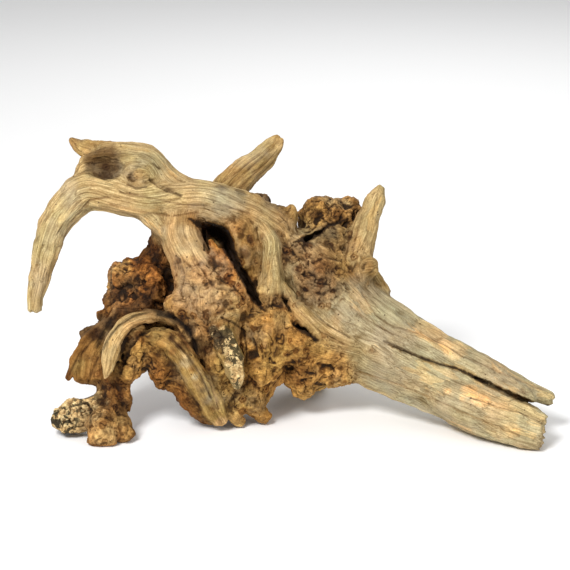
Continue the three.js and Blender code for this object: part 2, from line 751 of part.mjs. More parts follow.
// Fewer triangles where the surface is nearly flat: the cheapest edges are drawn together first
function thinSurface(shape, target) {
  const spots = [];
  for (let i = 0; i < shape.numVert; i += 1) {
    const base = i * shape.numProp;
    spots.push(new THREE.Vector3(...shape.vertProperties.slice(base, base + 3)));
  }
  const faces = [];
  const around = spots.map(() => new Set());
  for (let i = 0; i < shape.triVerts.length; i += 3) {
    const face = Array.from(shape.triVerts.slice(i, i + 3));
    face.forEach((corner) => around[corner].add(faces.length));
    faces.push(face);
  }
  const normalOf = (a, b, c) => {
    const first = new THREE.Vector3().subVectors(b, a);
    const second = new THREE.Vector3().subVectors(c, a);
    return first.cross(second);
  };
  const planes = spots.map(() => new Float64Array(10));
  faces.forEach((face) => {
    const normal = normalOf(...face.map((corner) => spots[corner]));
    const area = normal.length() / 2;
    normal.normalize();
    const offset = -normal.dot(spots[face[0]]);
    const four = [normal.x, normal.y, normal.z, offset];
    let slot = 0;
    for (let row = 0; row < 4; row += 1) {
      for (let column = row; column < 4; column += 1) {
        face.forEach((corner) => {
          planes[corner][slot] += area * four[row] * four[column];
        });
        slot += 1;
      }
    }
  });
  const misfit = (a, b, p) => {
    const q = planes[a].map((value, i) => value + planes[b][i]);
    const squares = q[0] * p.x * p.x + q[4] * p.y * p.y + q[7] * p.z * p.z + q[9];
    const products = q[1] * p.x * p.y + q[2] * p.x * p.z + q[5] * p.y * p.z;
    return squares + 2 * (products + q[3] * p.x + q[6] * p.y + q[8] * p.z);
  };
  const stamps = new Uint32Array(spots.length);
  const heap = [];
  const swap = (i, j) => {
    [heap[i], heap[j]] = [heap[j], heap[i]];
  };
  const push = (item) => {
    heap.push(item);
    let i = heap.length - 1;
    while (i > 0 && heap[(i - 1) >> 1].cost > heap[i].cost) {
      swap(i, (i - 1) >> 1);
      i = (i - 1) >> 1;
    }
  };
  const pop = () => {
    swap(0, heap.length - 1);
    const item = heap.pop();
    let i = 0;
    for (;;) {
      let least = i;
      for (const child of [2 * i + 1, 2 * i + 2]) {
        if (child < heap.length && heap[child].cost < heap[least].cost) {
          least = child;
        }
      }
      if (least === i) {
        return item;
      }
      swap(i, least);
      i = least;
    }
  };
  const offer = (a, b) => {
    const middle = spots[a].clone().lerp(spots[b], 0.5);
    let best = null;
    for (const spot of [middle, spots[a].clone(), spots[b].clone()]) {
      const cost = misfit(a, b, spot) + 0.002 * spots[a].distanceToSquared(spots[b]);
      if (!best || cost < best.cost) {
        best = { cost, spot };
      }
    }
    push({ cost: best.cost, spot: best.spot, a, b, stampA: stamps[a], stampB: stamps[b] });
  };
  const neighbours = (corner) => {
    const found = new Set();
    around[corner].forEach((index) => faces[index].forEach((other) => found.add(other)));
    found.delete(corner);
    return found;
  };
  spots.forEach((spot, corner) => {
    neighbours(corner).forEach((other) => {
      if (corner < other) {
        offer(corner, other);
      }
    });
  });
  let left = faces.length;
  while (left > target && heap.length) {
    const { a, b, spot, stampA, stampB } = pop();
    if (stamps[a] !== stampA || stamps[b] !== stampB) {
      continue;
    }
    const ringB = neighbours(b);
    const shared = [...neighbours(a)].filter((corner) => ringB.has(corner));
    if (shared.length !== 2) {
      continue;
    }
    let sound = true;
    for (const [corner, other] of [[a, b], [b, a]]) {
      around[corner].forEach((index) => {
        const face = faces[index];
        if (face.includes(other)) {
          return;
        }
        const before = normalOf(...face.map((k) => spots[k]));
        const moved = face.map((k) => (k === corner ? spot : spots[k]));
        const after = normalOf(...moved);
        const longest = Math.max(
          moved[0].distanceTo(moved[1]),
          moved[1].distanceTo(moved[2]),
          moved[2].distanceTo(moved[0]),
        );
        const slender = after.length() < 0.06 * longest * longest;
        const turned = before.dot(after) < 0.5 * before.length() * after.length();
        if (slender || turned) {
          sound = false;
        }
      });
    }
    if (!sound) {
      continue;
    }
    spots[a] = spot;
    planes[b].forEach((value, i) => {
      planes[a][i] += value;
    });
    [...around[b]].forEach((index) => {
      const face = faces[index];
      if (face.includes(a)) {
        face.forEach((corner) => around[corner].delete(index));
        faces[index] = null;
        left -= 1;
      } else {
        face[face.indexOf(b)] = a;
        around[a].add(index);
      }
    });
    around[b].clear();
    stamps[b] += 1;
    stamps[a] += 1;
    neighbours(a).forEach((other) => offer(a, other));
  }
  const numbers = new Map();
  const positions = [];
  const indices = [];
  faces.filter(Boolean).flat().forEach((corner) => {
    if (!numbers.has(corner)) {
      numbers.set(corner, numbers.size);
      positions.push(spots[corner].x, spots[corner].y, spots[corner].z);
    }
    indices.push(numbers.get(corner));
  });
  return { positions, indices };
}

let wood = null;
for (const limb of Object.values(limbs)) {
  const piece = solidOf(limbGeometry(limb));
  wood = wood ? wood.add(piece) : piece;
}
for (const burl of burls) {
  wood = wood.add(solidOf(burlGeometry(burl)));
}
for (const scoop of scoops) {
  wood = wood.subtract(solidOf(burlGeometry(scoop)));
}
for (const slot of Object.values(slots)) {
  wood = wood.subtract(solidOf(limbGeometry(slot)));
}

// The feet are worn flat where they meet the ground
const ground = new THREE.BoxGeometry(groundBlock, groundBlock, groundBlock);
ground.deleteAttribute("normal");
ground.deleteAttribute("uv");
ground.translate(0, 0, -groundBlock / 2);
wood = wood.subtract(solidOf(mergeVertices(ground, 1e-4)));

// One grown body: pockets sealed inside are filled
const bodies = wood.decompose();
bodies.sort((a, b) => b.volume() - a.volume());
const thinned = thinSurface(bodies[0].getMesh(), triangleTarget);
const geometry = closedGeometry(thinned.positions, thinned.indices);
geometry.translate(-datumShift[0], -datumShift[1], -datumShift[2]);
geometry.computeVertexNormals();

const weatheredWood = new THREE.MeshStandardMaterial({
  color: woodColour,
  roughness: woodRoughness,
  metalness: 0,
});
const driftwood = new THREE.Mesh(geometry, weatheredWood);
driftwood.name = "driftwood";
const part = new THREE.Group();
part.name = "piece_of_driftwood";
part.add(driftwood);

export default part;
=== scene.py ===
import math
import bpy
import bmesh
import numpy as np
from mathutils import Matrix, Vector
from mathutils.bvhtree import BVHTree


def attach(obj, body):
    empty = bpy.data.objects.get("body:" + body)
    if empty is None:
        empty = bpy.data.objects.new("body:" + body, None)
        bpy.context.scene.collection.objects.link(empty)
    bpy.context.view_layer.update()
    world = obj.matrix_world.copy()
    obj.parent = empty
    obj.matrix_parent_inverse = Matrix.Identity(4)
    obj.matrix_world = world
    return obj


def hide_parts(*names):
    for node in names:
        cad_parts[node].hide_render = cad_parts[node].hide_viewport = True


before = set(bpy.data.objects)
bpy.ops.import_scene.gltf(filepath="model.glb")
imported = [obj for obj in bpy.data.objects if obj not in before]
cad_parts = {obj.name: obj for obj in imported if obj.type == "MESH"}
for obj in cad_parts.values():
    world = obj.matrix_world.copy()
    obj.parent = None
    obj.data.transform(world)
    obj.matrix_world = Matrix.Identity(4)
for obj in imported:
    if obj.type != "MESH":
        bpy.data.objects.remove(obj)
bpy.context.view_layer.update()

scene = bpy.context.scene

# where the eye stands; lengths in mm, the pixel frame is 570 wide and one pixel is one mm at depth 0
sight = {"tilt": 18.0, "eyeDistance": 2200.0, "across": -5.0, "up": 162.0, "datumShift": (2.0, 95.5, 0.0),
         "pixelAcross": 290.0, "pixelUp": 447.0, "lens": 138.947, "sensor": 36.0, "clipEnd": 20.0}
mmPerMetre = 1000
tilt = math.radians(sight["tilt"])
sightAhead = np.array([0.0, math.cos(tilt), -math.sin(tilt)])
sightTop = np.array([0.0, math.sin(tilt), math.cos(tilt)])
sightRight = np.array([1.0, 0.0, 0.0])


def placeSight(uvd):  # across, up and depth seen from the eye, to the object's own frame in mm
    uvd = np.asarray(uvd, dtype=float).reshape(-1, 3)
    k = 1 + uvd[:, 2] / sight["eyeDistance"]
    x = sight["across"] + (uvd[:, 0] - sight["across"]) * k
    up = sight["up"] + (uvd[:, 1] - sight["up"]) * k
    flat = x[:, None] * sightRight + up[:, None] * sightTop + uvd[:, 2:3] * sightAhead
    return flat - np.array(sight["datumShift"])


eye = placeSight([(sight["across"], sight["up"], 0.0)])[0] - sightAhead * sight["eyeDistance"]

# camera
camData = bpy.data.cameras.new("sightCamera")
camData.lens = sight["lens"]
camData.sensor_width = sight["sensor"]
camData.clip_end = sight["clipEnd"]
cam = bpy.data.objects.new("sightCamera", camData)
cam.location = Vector(eye / mmPerMetre)
cam.rotation_euler = (math.radians(90 - sight["tilt"]), 0, 0)
scene.collection.objects.link(cam)
scene.camera = cam

# floor and soft light
stageLook = {"floorHalf": 3.0, "floorTone": (0.93, 0.93, 0.93), "floorRough": 0.9, "aim": (0.0, 0.0, 0.12),
             "worldTone": (1.0, 1.0, 1.0), "worldPower": 0.43,
             "keyAt": (-0.9, -1.5, 1.9), "keySize": 0.9, "keyPower": 62.0,
             "fillAt": (1.6, -1.2, 1.0), "fillSize": 1.4, "fillPower": 9.0,
             "backAt": (0.3, 1.6, 1.5), "backSize": 1.2, "backPower": 14.0}


def makeFloor():
    half = stageLook["floorHalf"]
    mesh = bpy.data.meshes.new("floor")
    mesh.from_pydata([(-half, -half, 0), (half, -half, 0), (half, half, 0), (-half, half, 0)], [], [(0, 1, 2, 3)])
    floor = bpy.data.objects.new("floor", mesh)
    scene.collection.objects.link(floor)
    paper = bpy.data.materials.new("palePaper")
    paper.use_nodes = True
    shader = paper.node_tree.nodes["Principled BSDF"]
    shader.inputs["Base Color"].default_value = (*stageLook["floorTone"], 1)
    shader.inputs["Roughness"].default_value = stageLook["floorRough"]
    mesh.materials.append(paper)


def makeLamp(name, at, size, power):
    data = bpy.data.lights.new(name, "AREA")
    data.shape = "DISK"
    data.size = size
    data.energy = power
    lamp = bpy.data.objects.new(name, data)
    lamp.location = at
    lamp.rotation_euler = (Vector(stageLook["aim"]) - Vector(at)).to_track_quat("-Z", "Y").to_euler()
    scene.collection.objects.link(lamp)


makeFloor()
for lampName in ("key", "fill", "back"):
    makeLamp(lampName, stageLook[lampName + "At"], stageLook[lampName + "Size"], stageLook[lampName + "Power"])
world = bpy.data.worlds.new("softRoom")
scene.world = world
world.use_nodes = True
world.node_tree.nodes["Background"].inputs["Color"].default_value = (*stageLook["worldTone"], 1)
world.node_tree.nodes["Background"].inputs["Strength"].default_value = stageLook["worldPower"]
scene.view_settings.view_transform = "Standard"
print("camera, floor and light set")


# smooth lattice noise and cell noise on arrays of points, seeded and repeatable
def latticeHash(ix, iy, iz, seed):
    h = (ix.astype(np.int64).astype(np.uint32) * np.uint32(374761393)
         + iy.astype(np.int64).astype(np.uint32) * np.uint32(668265263)
         + iz.astype(np.int64).astype(np.uint32) * np.uint32(2246822519)
         + np.uint32((seed * 3266489917) % 4294967296))
    h = (h ^ (h >> np.uint32(13))) * np.uint32(1274126177)
    h = (h ^ (h >> np.uint32(15))) * np.uint32(2246822519)
    return h ^ (h >> np.uint32(16))


noiseSlopes = np.array([(1, 1, 0), (-1, 1, 0), (1, -1, 0), (-1, -1, 0), (1, 0, 1), (-1, 0, 1), (1, 0, -1), (-1, 0, -1),
                        (0, 1, 1), (0, -1, 1), (0, 1, -1), (0, -1, -1), (1, 1, 0), (-1, 1, 0), (0, -1, 1), (0, -1, -1)],
                       dtype=np.float32)


def waver(points, seed):  # smooth noise, about -1 to 1
    base = np.floor(points)
    f = (points - base).astype(np.float32)
    fade = f * f * f * (f * (f * 6 - 15) + 10)
    total = np.zeros(len(points), dtype=np.float32)
    for cx in (0, 1):
        wx = fade[:, 0] if cx else 1 - fade[:, 0]
        for cy in (0, 1):
            wy = fade[:, 1] if cy else 1 - fade[:, 1]
            for cz in (0, 1):
                wz = fade[:, 2] if cz else 1 - fade[:, 2]
                h = latticeHash(base[:, 0] + cx, base[:, 1] + cy, base[:, 2] + cz, seed)
                slope = noiseSlopes[h & np.uint32(15)]
                dot = slope[:, 0] * (f[:, 0] - cx) + slope[:, 1] * (f[:, 1] - cy) + slope[:, 2] * (f[:, 2] - cz)
                total += wx * wy * wz * dot
    return total


def roughWaver(points, octaves, seed):
    total = np.zeros(len(points), dtype=np.float32)
    share = 1.0
    for octave in range(octaves):
        total += share * waver(points * (2.03 ** octave), seed + 31 * octave)
        share *= 0.5
    return total


def cells(points, seed):  # distance to the nearest and next cell centre, and the nearest cell's own number 0 to 1
    base = np.floor(points)
    first = np.full(len(points), 9.0, dtype=np.float32)
    second = np.full(len(points), 9.0, dtype=np.float32)
    mark = np.zeros(len(points), dtype=np.float32)
    for cx in (-1, 0, 1):
        for cy in (-1, 0, 1):
            for cz in (-1, 0, 1):
                ix, iy, iz = base[:, 0] + cx, base[:, 1] + cy, base[:, 2] + cz
                h = latticeHash(ix, iy, iz, seed)
                px = ix + (h & np.uint32(1023)) / 1023.0
                py = iy + ((h >> np.uint32(10)) & np.uint32(1023)) / 1023.0
                pz = iz + ((h >> np.uint32(20)) & np.uint32(1023)) / 1023.0
                gap = np.sqrt((points[:, 0] - px) ** 2 + (points[:, 1] - py) ** 2 + (points[:, 2] - pz) ** 2)
                gap = gap.astype(np.float32)
                nearer = gap < first
                second = np.where(nearer, first, np.minimum(second, gap))
                mark = np.where(nearer, (h % np.uint32(997)) / 997.0, mark)
                first = np.where(nearer, gap, first)
    return first, second, mark


def ramp(low, high, value):  # 0 below low, 1 above high, eased between
    t = np.clip((value - low) / (high - low), 0, 1)
    return t * t * (3 - 2 * t)


# the driftwood; places as seen from the eye, lengths in mm
wood = {
    "voxel": 0.00125, "triangles": 192000, "blend": 4.0, "burlBlend": 8.0, "burlGrain": 0.7,
    "pathStep": 2.0, "endSlack": 3.0, "blockSize": 20000, "surveyReach": 26.0,
    "ragged": {"height": 2.6, "size": 10.0, "seed": 71},  # borders of the burls
    "facets": {"turns": 14, "pull": 0.6, "push": 0.58}, "settle": {"turns": 4, "pull": 0.5, "push": 0.5},
    "fillet": {"turns": 34, "rings": 3, "step": 0.8, "reach": 12.0, "blend": 3.0, "power": 1.5},
    "grain": [(150.0, 9.0, 1.3), (90.0, 4.4, 0.9), (60.0, 2.5, 0.5)],  # flutes, ridges, fibres: along, across, height
    "check": {"along": 190.0, "across": 11.0, "half": 0.055, "whereAlong": 80.0, "whereAcross": 30.0, "depth": 1.7},
    "burlForm": {"lump": 6.0, "ledge": 1.5, "split": 2.2, "bead": 1.1, "pit": 1.6},  # heights and depths
    # rays for the painted shade in sheltered spots
    "shelter": {"reach": 34.0, "rays": 14, "turn": 2.399963, "lift": 0.6, "evenTurns": 2},
    "worn": {"turns": 30, "step": 0.7, "fineTurn": 5, "fine": 0.5, "broad": 2.0},  # bend of the surface: painted shade in the creases, painted highlight on the ridges
    "limbs": {  # across, up, depth, half width, half depth
        "archedBranch": [(-2, 200, 84, 18, 24), (-38, 226, 64, 24.5, 28), (-75, 243, 50, 21, 24),
            (-110, 247, 44, 20.5, 24), (-145, 247, 40, 20, 22), (-178, 253, 36, 19, 20), (-205, 256, 32, 19.5, 18),
            (-222, 242, 29, 17.5, 16), (-236, 223, 26, 16, 14.5), (-242.5, 206, 24, 14.5, 13),
            (-247.5, 184, 22, 12.3, 11.5), (-251.5, 164, 20, 10, 9.5), (-255, 147, 19, 8, 8),
            (-255.6, 135.5, 18, 7.5, 7.5)],
        "upperLobe": [(-190, 296, 56, 7, 10), (-168, 293, 58, 12, 16), (-146, 287, 57, 16, 19),
            (-124, 267, 50, 15, 20), (-96, 252, 49, 13, 20)],
        "elbowWeb": [(-211, 272, 38, 9, 11), (-196, 279, 42, 17, 15), (-166, 276, 46, 19, 17),
            (-140, 268, 46, 18, 17)],
        "spur": [(-186, 288, 58, 14, 9), (-201, 296, 68, 10, 7), (-211, 301, 76, 6.5, 5),
            (-219, 308, 82, 3.4, 3.4)],
        "hollowRim": [(-207, 305, 76, 3.4, 4), (-195, 304, 67, 2.6, 4), (-180, 301, 60, 5, 6)],
        "backStub": [(-70, 240, 78, 20, 18), (-58, 261, 88, 18, 14), (-43, 277, 97, 15.5, 11.5),
            (-28, 288, 104, 12.8, 10), (-16, 301, 110, 10, 7.5), (-10.5, 309.5, 113, 6, 5)],
        "notchSpur": [(-10, 195, 72, 20, 22), (-7, 218, 76, 15, 17), (-1, 233, 78, 9, 10), (3, 241, 78, 4, 5)],
        "crownRidge": [(-48, 241, 76, 10, 12), (-27, 234, 80, 11, 14), (-6, 229, 80, 13, 14)],
        "rightHorn": [(58, 158, 82, 24, 28), (66.5, 190, 78, 17, 18), (72.5, 212, 80, 14.5, 13.5),
            (79, 232, 84, 12, 11), (86, 248, 88, 10.5, 8.5), (91, 260.5, 91, 5, 4.5)],
        "shoulderFlake": [(78, 180, 86, 6, 9), (89, 165, 88, 6.5, 10), (98, 153, 86, 5, 9)],
        "trunk": [(-18, 212, 94, 12, 18), (4, 190, 86, 31, 40), (30, 154, 86, 42, 48), (62, 122, 84, 46, 46),
            (98, 98, 74, 45, 39), (141, 76, 56, 40, 33), (182, 55, 38, 37, 29), (213, 40, 21, 32, 24),
            (239, 30, 9, 21, 16)],
        "upperProng": [(120, 113, 72, 8, 14), (150, 102, 62, 13, 22), (190, 82, 47, 12.5, 19),
            (230, 61, 33, 9.8, 14), (263, 48, 25, 7, 9)],
        "lowerProng": [(120, 70, 58, 10, 18), (170, 47, 32, 26, 28), (210, 30, 11, 25.5, 24), (238, 19, -3, 22, 19),
            (252, 14, -7, 19, 17)],
        "swirlStrand": [(-8, 162, 42, 4, 7), (6, 142, 38, 7, 8), (24, 122, 38, 9, 8), (52, 104, 43, 9, 8),
            (86, 94, 46, 5, 7)],
        "barkRidge": [(74, 166, 70, 4, 7), (80, 143, 58, 7, 8), (98, 123, 53, 8, 8), (130, 113, 49, 7, 8),
            (160, 98, 43, 4, 7)],
        "frontWedge": [(-33, 230, 44, 2.6, 6), (-27, 218, 41, 5, 8), (-19, 206, 39, 8.4, 10), (-18, 190, 40, 8, 11),
            (-18, 173, 42, 9.5, 13), (-20, 158, 44, 13.5, 17), (-22, 141, 48, 17, 20)],
        "innerLobe": [(-70, 246, 60, 12, 14), (-58, 232, 52, 15, 17), (-48, 216, 48, 16, 18),
            (-44, 199, 48, 13.5, 16), (-44, 181, 50, 10, 12)],
        "shoulderSheet": [(-50, 236, 66, 26, 26), (-34, 210, 64, 30, 25), (-26, 184, 64, 28, 24),
            (-24, 156, 64, 22, 20)],
        "headSheet": [(-20, 212, 78, 16, 22), (6, 192, 76, 22, 28), (32, 176, 76, 28, 32), (54, 158, 78, 26, 30)],
        "columnFlare": [(-164, 249, 40, 9, 12), (-139, 233, 40, 12, 15), (-121, 213, 39, 11, 16),
            (-112, 190, 36, 8, 14)],
        "column": [(-106, 254, 54, 15, 14), (-109, 232, 42, 21, 20), (-110, 213, 37, 20.5, 21),
            (-100, 189, 32, 21, 23), (-88, 163, 28, 29, 26), (-84, 139, 29, 36, 28), (-80, 117, 36, 34, 26),
            (-74, 92, 46, 26, 22)],
        "brownTongue": [(-76, 209, 22, 6.5, 5), (-69, 189, 17, 10, 7), (-58, 167, 17, 11, 9),
            (-50, 146, 24, 11, 10), (-44, 130, 38, 8, 9)],
        "cavityWall": [(-72, 236, 84, 24, 20), (-60, 205, 96, 30, 22), (-50, 165, 100, 36, 24),
            (-52, 120, 92, 42, 28), (-64, 84, 80, 34, 26), (-66, 58, 72, 25, 20)],
        "backRib": [(-52, 240, 88, 14, 14), (-66, 212, 110, 19, 12), (-74, 180, 118, 20, 13),
            (-66, 144, 120, 21, 13), (-72, 110, 108, 18, 13), (-80, 84, 90, 12, 12), (-82, 66, 76, 8, 9)],
        "backSpine": [(2, 208, 108, 22, 20), (-18, 186, 122, 24, 15), (-30, 156, 126, 25, 15),
            (-30, 124, 124, 23, 15), (-42, 96, 112, 17, 14), (-50, 74, 92, 11, 12)],
        "backSheet": [(-22, 208, 100, 30, 20), (-46, 172, 108, 38, 20), (-48, 132, 108, 38, 20),
            (-54, 98, 98, 32, 20), (-60, 72, 84, 22, 17)],
        "backShoulder": [(14, 200, 116, 26, 20), (40, 166, 122, 26, 16), (72, 134, 114, 21, 16),
            (118, 104, 92, 12, 14)],
        "backRoot": [(-122, 230, 54, 15, 16), (-128, 204, 64, 12, 15), (-139, 182, 70, 15, 18)],
        "rootShelf": [(-98, 150, 78, 26, 24), (-124, 132, 76, 28, 26), (-150, 112, 66, 28, 24),
            (-166, 92, 56, 22, 20)],
        "underRoot": [(-122, 112, 62, 24, 20), (-108, 88, 60, 24, 20), (-92, 64, 58, 19, 18),
            (-78, 44, 56, 14, 15)],
        "earFan": [(-172, 125, 60, 14, 15), (-187, 106, 50, 16, 14), (-196, 87, 40, 19, 12),
            (-197, 66, 33, 19, 10)],
        "earRim": [(-184, 122, 52, 8, 8), (-202, 107, 44, 7, 7), (-214, 89, 35, 5.5, 6), (-222, 68, 31, 3.6, 4.5)],
        "hookStrip": [(-127, 129, 26, 3.5, 5), (-140, 131, 18, 5, 5), (-153, 129, 11, 6.8, 4.6),
            (-167, 121, 5, 8.4, 4.8), (-177, 106, 2, 9, 5), (-180.5, 90, 2, 9.6, 4.8), (-182, 79, 4, 6.5, 4),
            (-184.5, 68, 6, 1.6, 2.4)],
        "hookBack": [(-140, 133, 34, 5, 10), (-158, 126, 26, 7, 13), (-172, 108, 18, 8, 14), (-177, 88, 18, 8, 13)],
        "barkStrip": [(-146, 136, 28, 3.5, 6), (-128, 132, 22, 4.5, 7), (-112, 124, 20, 5.5, 8),
            (-100, 109, 22, 5, 8), (-94, 92, 27, 4, 6)],
        "oliveRoot": [(-138, 112, 30, 9, 12), (-121, 106, 20, 12.5, 12), (-107, 91, 16, 13, 12),
            (-96, 73, 17, 12.5, 11), (-85, 54, 23, 12.5, 11.5), (-75, 37, 32, 12, 10.5), (-69, 25, 39, 8.5, 8.5)],
        "lowerMass": [(-136, 101, 34, 12, 16), (-124, 84, 35, 14, 18), (-106, 60, 39, 13.5, 17),
            (-90, 40, 44, 12.5, 15), (-74, 30, 49, 9, 10)],
        "leftLeg": [(-170, 97, 50, 16, 18), (-177, 60, 36, 16, 16), (-178, 40, 25, 16.5, 16),
            (-185, 20, 10, 18, 15), (-189, 5, 3, 16, 13)],
        "rightToe": [(-178, 24, 17, 13, 13), (-167, 17, 12, 11.5, 11), (-161, 9, 8, 8, 7)],
        "legSplinter": [(-168, 66, 34, 6, 6), (-163, 48, 31, 5, 5), (-160, 34, 28, 1.8, 2)],
        "lichenFoot": [(-186, 41, 28, 14, 15), (-204, 34.5, 27, 16, 16), (-218, 29.5, 27, 17.5, 16.5),
            (-230, 30, 28, 14, 14.5), (-237, 31.5, 28, 7.5, 10)],
        "patchedHorn": [(-40, 130, 40, 6, 8), (-58, 132, 20, 8, 9), (-69, 120, 10, 12, 10), (-65, 104, 5, 13, 10),
            (-58, 89, 3, 12, 9), (-53, 72, 4, 9.5, 8), (-52, 57, 6, 3, 4)],
        "hornBacking": [(-74, 112, 34, 14, 16), (-73, 88, 34, 12, 14), (-70, 64, 40, 12, 14),
            (-64, 46, 44, 12, 13)],
        "centreMass": [(-32, 152, 52, 14, 20), (-24, 124, 52, 33, 32), (-27, 92, 53, 27, 29), (-36, 64, 52, 22, 23),
            (-42, 44, 52, 16, 17)],
        "massBridge": [(-34, 114, 54, 20, 26), (0, 108, 54, 25, 28), (34, 99, 62, 24, 28), (58, 92, 70, 18, 24)],
        "smallToe": [(-64, 40, 42, 9, 9), (-54, 28, 46, 7, 7), (-47, 24, 49, 5.5, 5.5)],
        "forkToe": [(-46, 46, 50, 12, 12), (-32, 36, 54, 9, 9), (-21, 28, 58, 6.5, 6.5)],
        "backLeg": [(8, 150, 104, 38, 32), (2, 118, 128, 28, 25), (9, 96, 144, 20, 19), (22, 78, 154, 15.5, 15),
            (19, 61, 160, 15, 14)],
    },
    "burls": [  # across, up, depth, half sizes, tone, share of knobby burl
        (-151, 271, 35, 14, 13, 10, "straw", 0.25), (-31, 245, 92, 12, 9, 13, "dark", 1),
        (34, 227, 104, 24, 21, 22, "umber", 1), (54, 226, 112, 18, 20, 20, "umber", 1),
        (22, 231, 114, 11, 14, 16, "umber", 1), (40, 216, 126, 20, 16, 16, "umber", 1),
        (62, 234, 108, 11, 12, 13, "umber", 1), (36, 206, 94, 28, 16, 28, "umber", 1),
        (79, 180, 66, 10.5, 11, 11, "tan", 0.2), (-160, 168, 74, 19, 19, 22, "russet", 1),
        (-138, 162, 64, 17, 22, 22, "russet", 1), (-166, 150, 70, 13, 12, 17, "russet", 1),
        (-175, 145, 74, 12, 10, 13, "russet", 1), (-180, 132, 68, 10, 9, 12, "russet", 1),
        (-146, 139, 58, 17, 12, 17, "russet", 1), (-166, 134, 58, 14, 12, 15, "russet", 1),
        (-198, 114, 56, 11, 8, 12, "dark", 0.8), (-153, 99, 30, 14, 25, 18, "honey", 0.9),
        (-163, 78, 30, 11, 13, 14, "ochre", 0.9), (-73, 84, 26, 10, 16, 12, "honey", 0.9),
        (-66, 54, 40, 11, 14, 14, "honey", 0.9), (-52, 44, 48, 13, 12, 14, "honey", 0.9),
        (-14, 68, 58, 8, 9, 10, "honey", 0.9), (-98, 122, 34, 12, 9, 12, "brownTan", 0.7),
        (16, 76, 72, 23, 21, 24, "ochre", 0.85), (34, 70, 72, 18, 12, 19, "ochre", 0.85),
        (-128, 76, 34, 14, 17, 16, "brown", 0.9), (-24, 124, 34, 21, 13, 15, "honey", 0.7),
        (2, 101, 38, 19, 13, 16, "honey", 0.7), (-30, 76, 34, 14, 15, 13, "honey", 0.8),
        (50, 74, 72, 20, 12, 20, "ochre", 0.85), (-126, 172, 80, 18, 28, 18, "dark", 1),
        (-92, 164, 17, 20, 20, 15, "pink", 0.5), (-70, 152, 18, 20, 18, 16, "pink", 0.5),
        (-106, 142, 20, 18, 15, 15, "pink", 0.6), (-86, 129, 18, 24, 13, 15, "pinkTan", 0.65),
        (-56, 144, 22, 15, 14, 14, "pinkTan", 0.65), (-97, 116, 22, 15, 12, 14, "pinkTan", 0.7),
        (-188, 18, 5, 16, 19, 12, "foot", 0.7), (-172, 20, 12, 13, 16, 11, "foot", 0.7),
        (4, 104, 150, 20, 18, 16, "tan", 0.6), (-40, 178, 128, 20, 17, 15, "brown", 0.9),
        (-62, 128, 120, 16, 20, 15, "brown", 0.9),
    ],
    "slots": {  # cracks and cavities, as the limbs
        "darkCavity": [(-82, 218, 40, 7, 34), (-70, 211, 42, 10, 38), (-60, 194, 44, 6, 40), (-52, 178, 44, 5, 38),
            (-42, 161, 44, 6.2, 36), (-34, 147, 42, 4.5, 30), (-27, 138, 40, 2, 20)],
        "burlCrevice": [(12, 207, 62, 3, 16), (24, 211, 70, 2.4, 12), (38, 220, 78, 1.8, 10),
            (55, 227, 82, 1.2, 8)],
        "trunkCrack": [(104, 100, 28, 0.8, 12), (140, 86, 22, 1, 14), (170, 77, 11, 1.3, 15), (190, 67, 5, 2, 17),
            (220, 53, -4, 2.8, 18), (245, 42, 0, 3, 30), (272, 36, 4, 3.4, 42)],
        "stumpCleft": [(6, 122, 34, 1.2, 8), (14, 115, 36, 3, 10), (24, 109, 38, 1.2, 8)],
    },
    "scoops": [(-38, 92, 22, 5.5, 6, 12), (16, 205, 76, 6, 8, 20)],  # hollows, as the burls
    "looks": {  # tone, height of the grain, share of knobby burl
        "archedBranch": ("straw", 0.85, 0.0), "upperLobe": ("sand", 0.6, 0.0), "elbowWeb": ("sand", 0.7, 0.1),
        "spur": ("tan", 0.8, 0.1), "hollowRim": ("tan", 0.7, 0.2), "backStub": ("tan", 1.2, 0.0),
        "notchSpur": ("tan", 0.9, 0.3), "crownRidge": ("brown", 0.8, 0.6), "rightHorn": ("sand", 0.8, 0.0),
        "shoulderFlake": ("tan", 0.9, 0.2), "trunk": ("greyTan", 0.45, 0.0), "upperProng": ("silver", 0.5, 0.0),
        "lowerProng": ("silver", 0.55, 0.0), "swirlStrand": ("straw", 0.8, 0.0), "barkRidge": ("greyTan", 0.9, 0.1),
        "frontWedge": ("sand", 0.8, 0.0), "innerLobe": ("brownTan", 0.8, 0.3), "column": ("pink", 0.7, 0.12),
        "shoulderSheet": ("brownTan", 0.8, 0.35), "headSheet": ("brownTan", 0.8, 0.55),
        "columnFlare": ("straw", 0.7, 0.0), "brownTongue": ("torn", 0.8, 0.5), "cavityWall": ("dark", 1.2, 0.5),
        "backRib": ("tan", 1.1, 0.1), "backSpine": ("tan", 1.1, 0.1), "backSheet": ("brownTan", 1.3, 0.3),
        "backShoulder": ("tan", 1.0, 0.1), "backRoot": ("brown", 0.9, 0.5), "rootShelf": ("brown", 1.0, 0.7),
        "underRoot": ("dark", 1.0, 0.7), "earFan": ("brownTan", 0.7, 0.15), "earRim": ("brown", 1.4, 0.2),
        "hookStrip": ("pale", 0.6, 0.0), "hookBack": ("dark", 0.8, 0.4), "barkStrip": ("dark", 1.4, 0.1),
        "oliveRoot": ("olive", 1.4, 0.05), "lowerMass": ("brown", 0.9, 0.5), "leftLeg": ("brown", 0.9, 0.7),
        "rightToe": ("brown", 0.8, 0.5), "legSplinter": ("brown", 0.8, 0.2), "lichenFoot": ("lichen", 0.6, 0.5),
        "patchedHorn": ("olive", 0.8, 0.2), "hornBacking": ("dark", 0.9, 0.6), "centreMass": ("honey", 0.9, 0.6),
        "massBridge": ("honey", 0.9, 0.6), "smallToe": ("tan", 0.8, 0.2), "forkToe": ("honey", 0.8, 0.4),
        "backLeg": ("tan", 1.1, 0.1),
    },
    "crisp": {  # how far the creases round a limb are filled, 1 elsewhere
        "hookStrip": 0.1, "hookBack": 0.15, "barkStrip": 0.15, "oliveRoot": 0.3, "patchedHorn": 0.3,
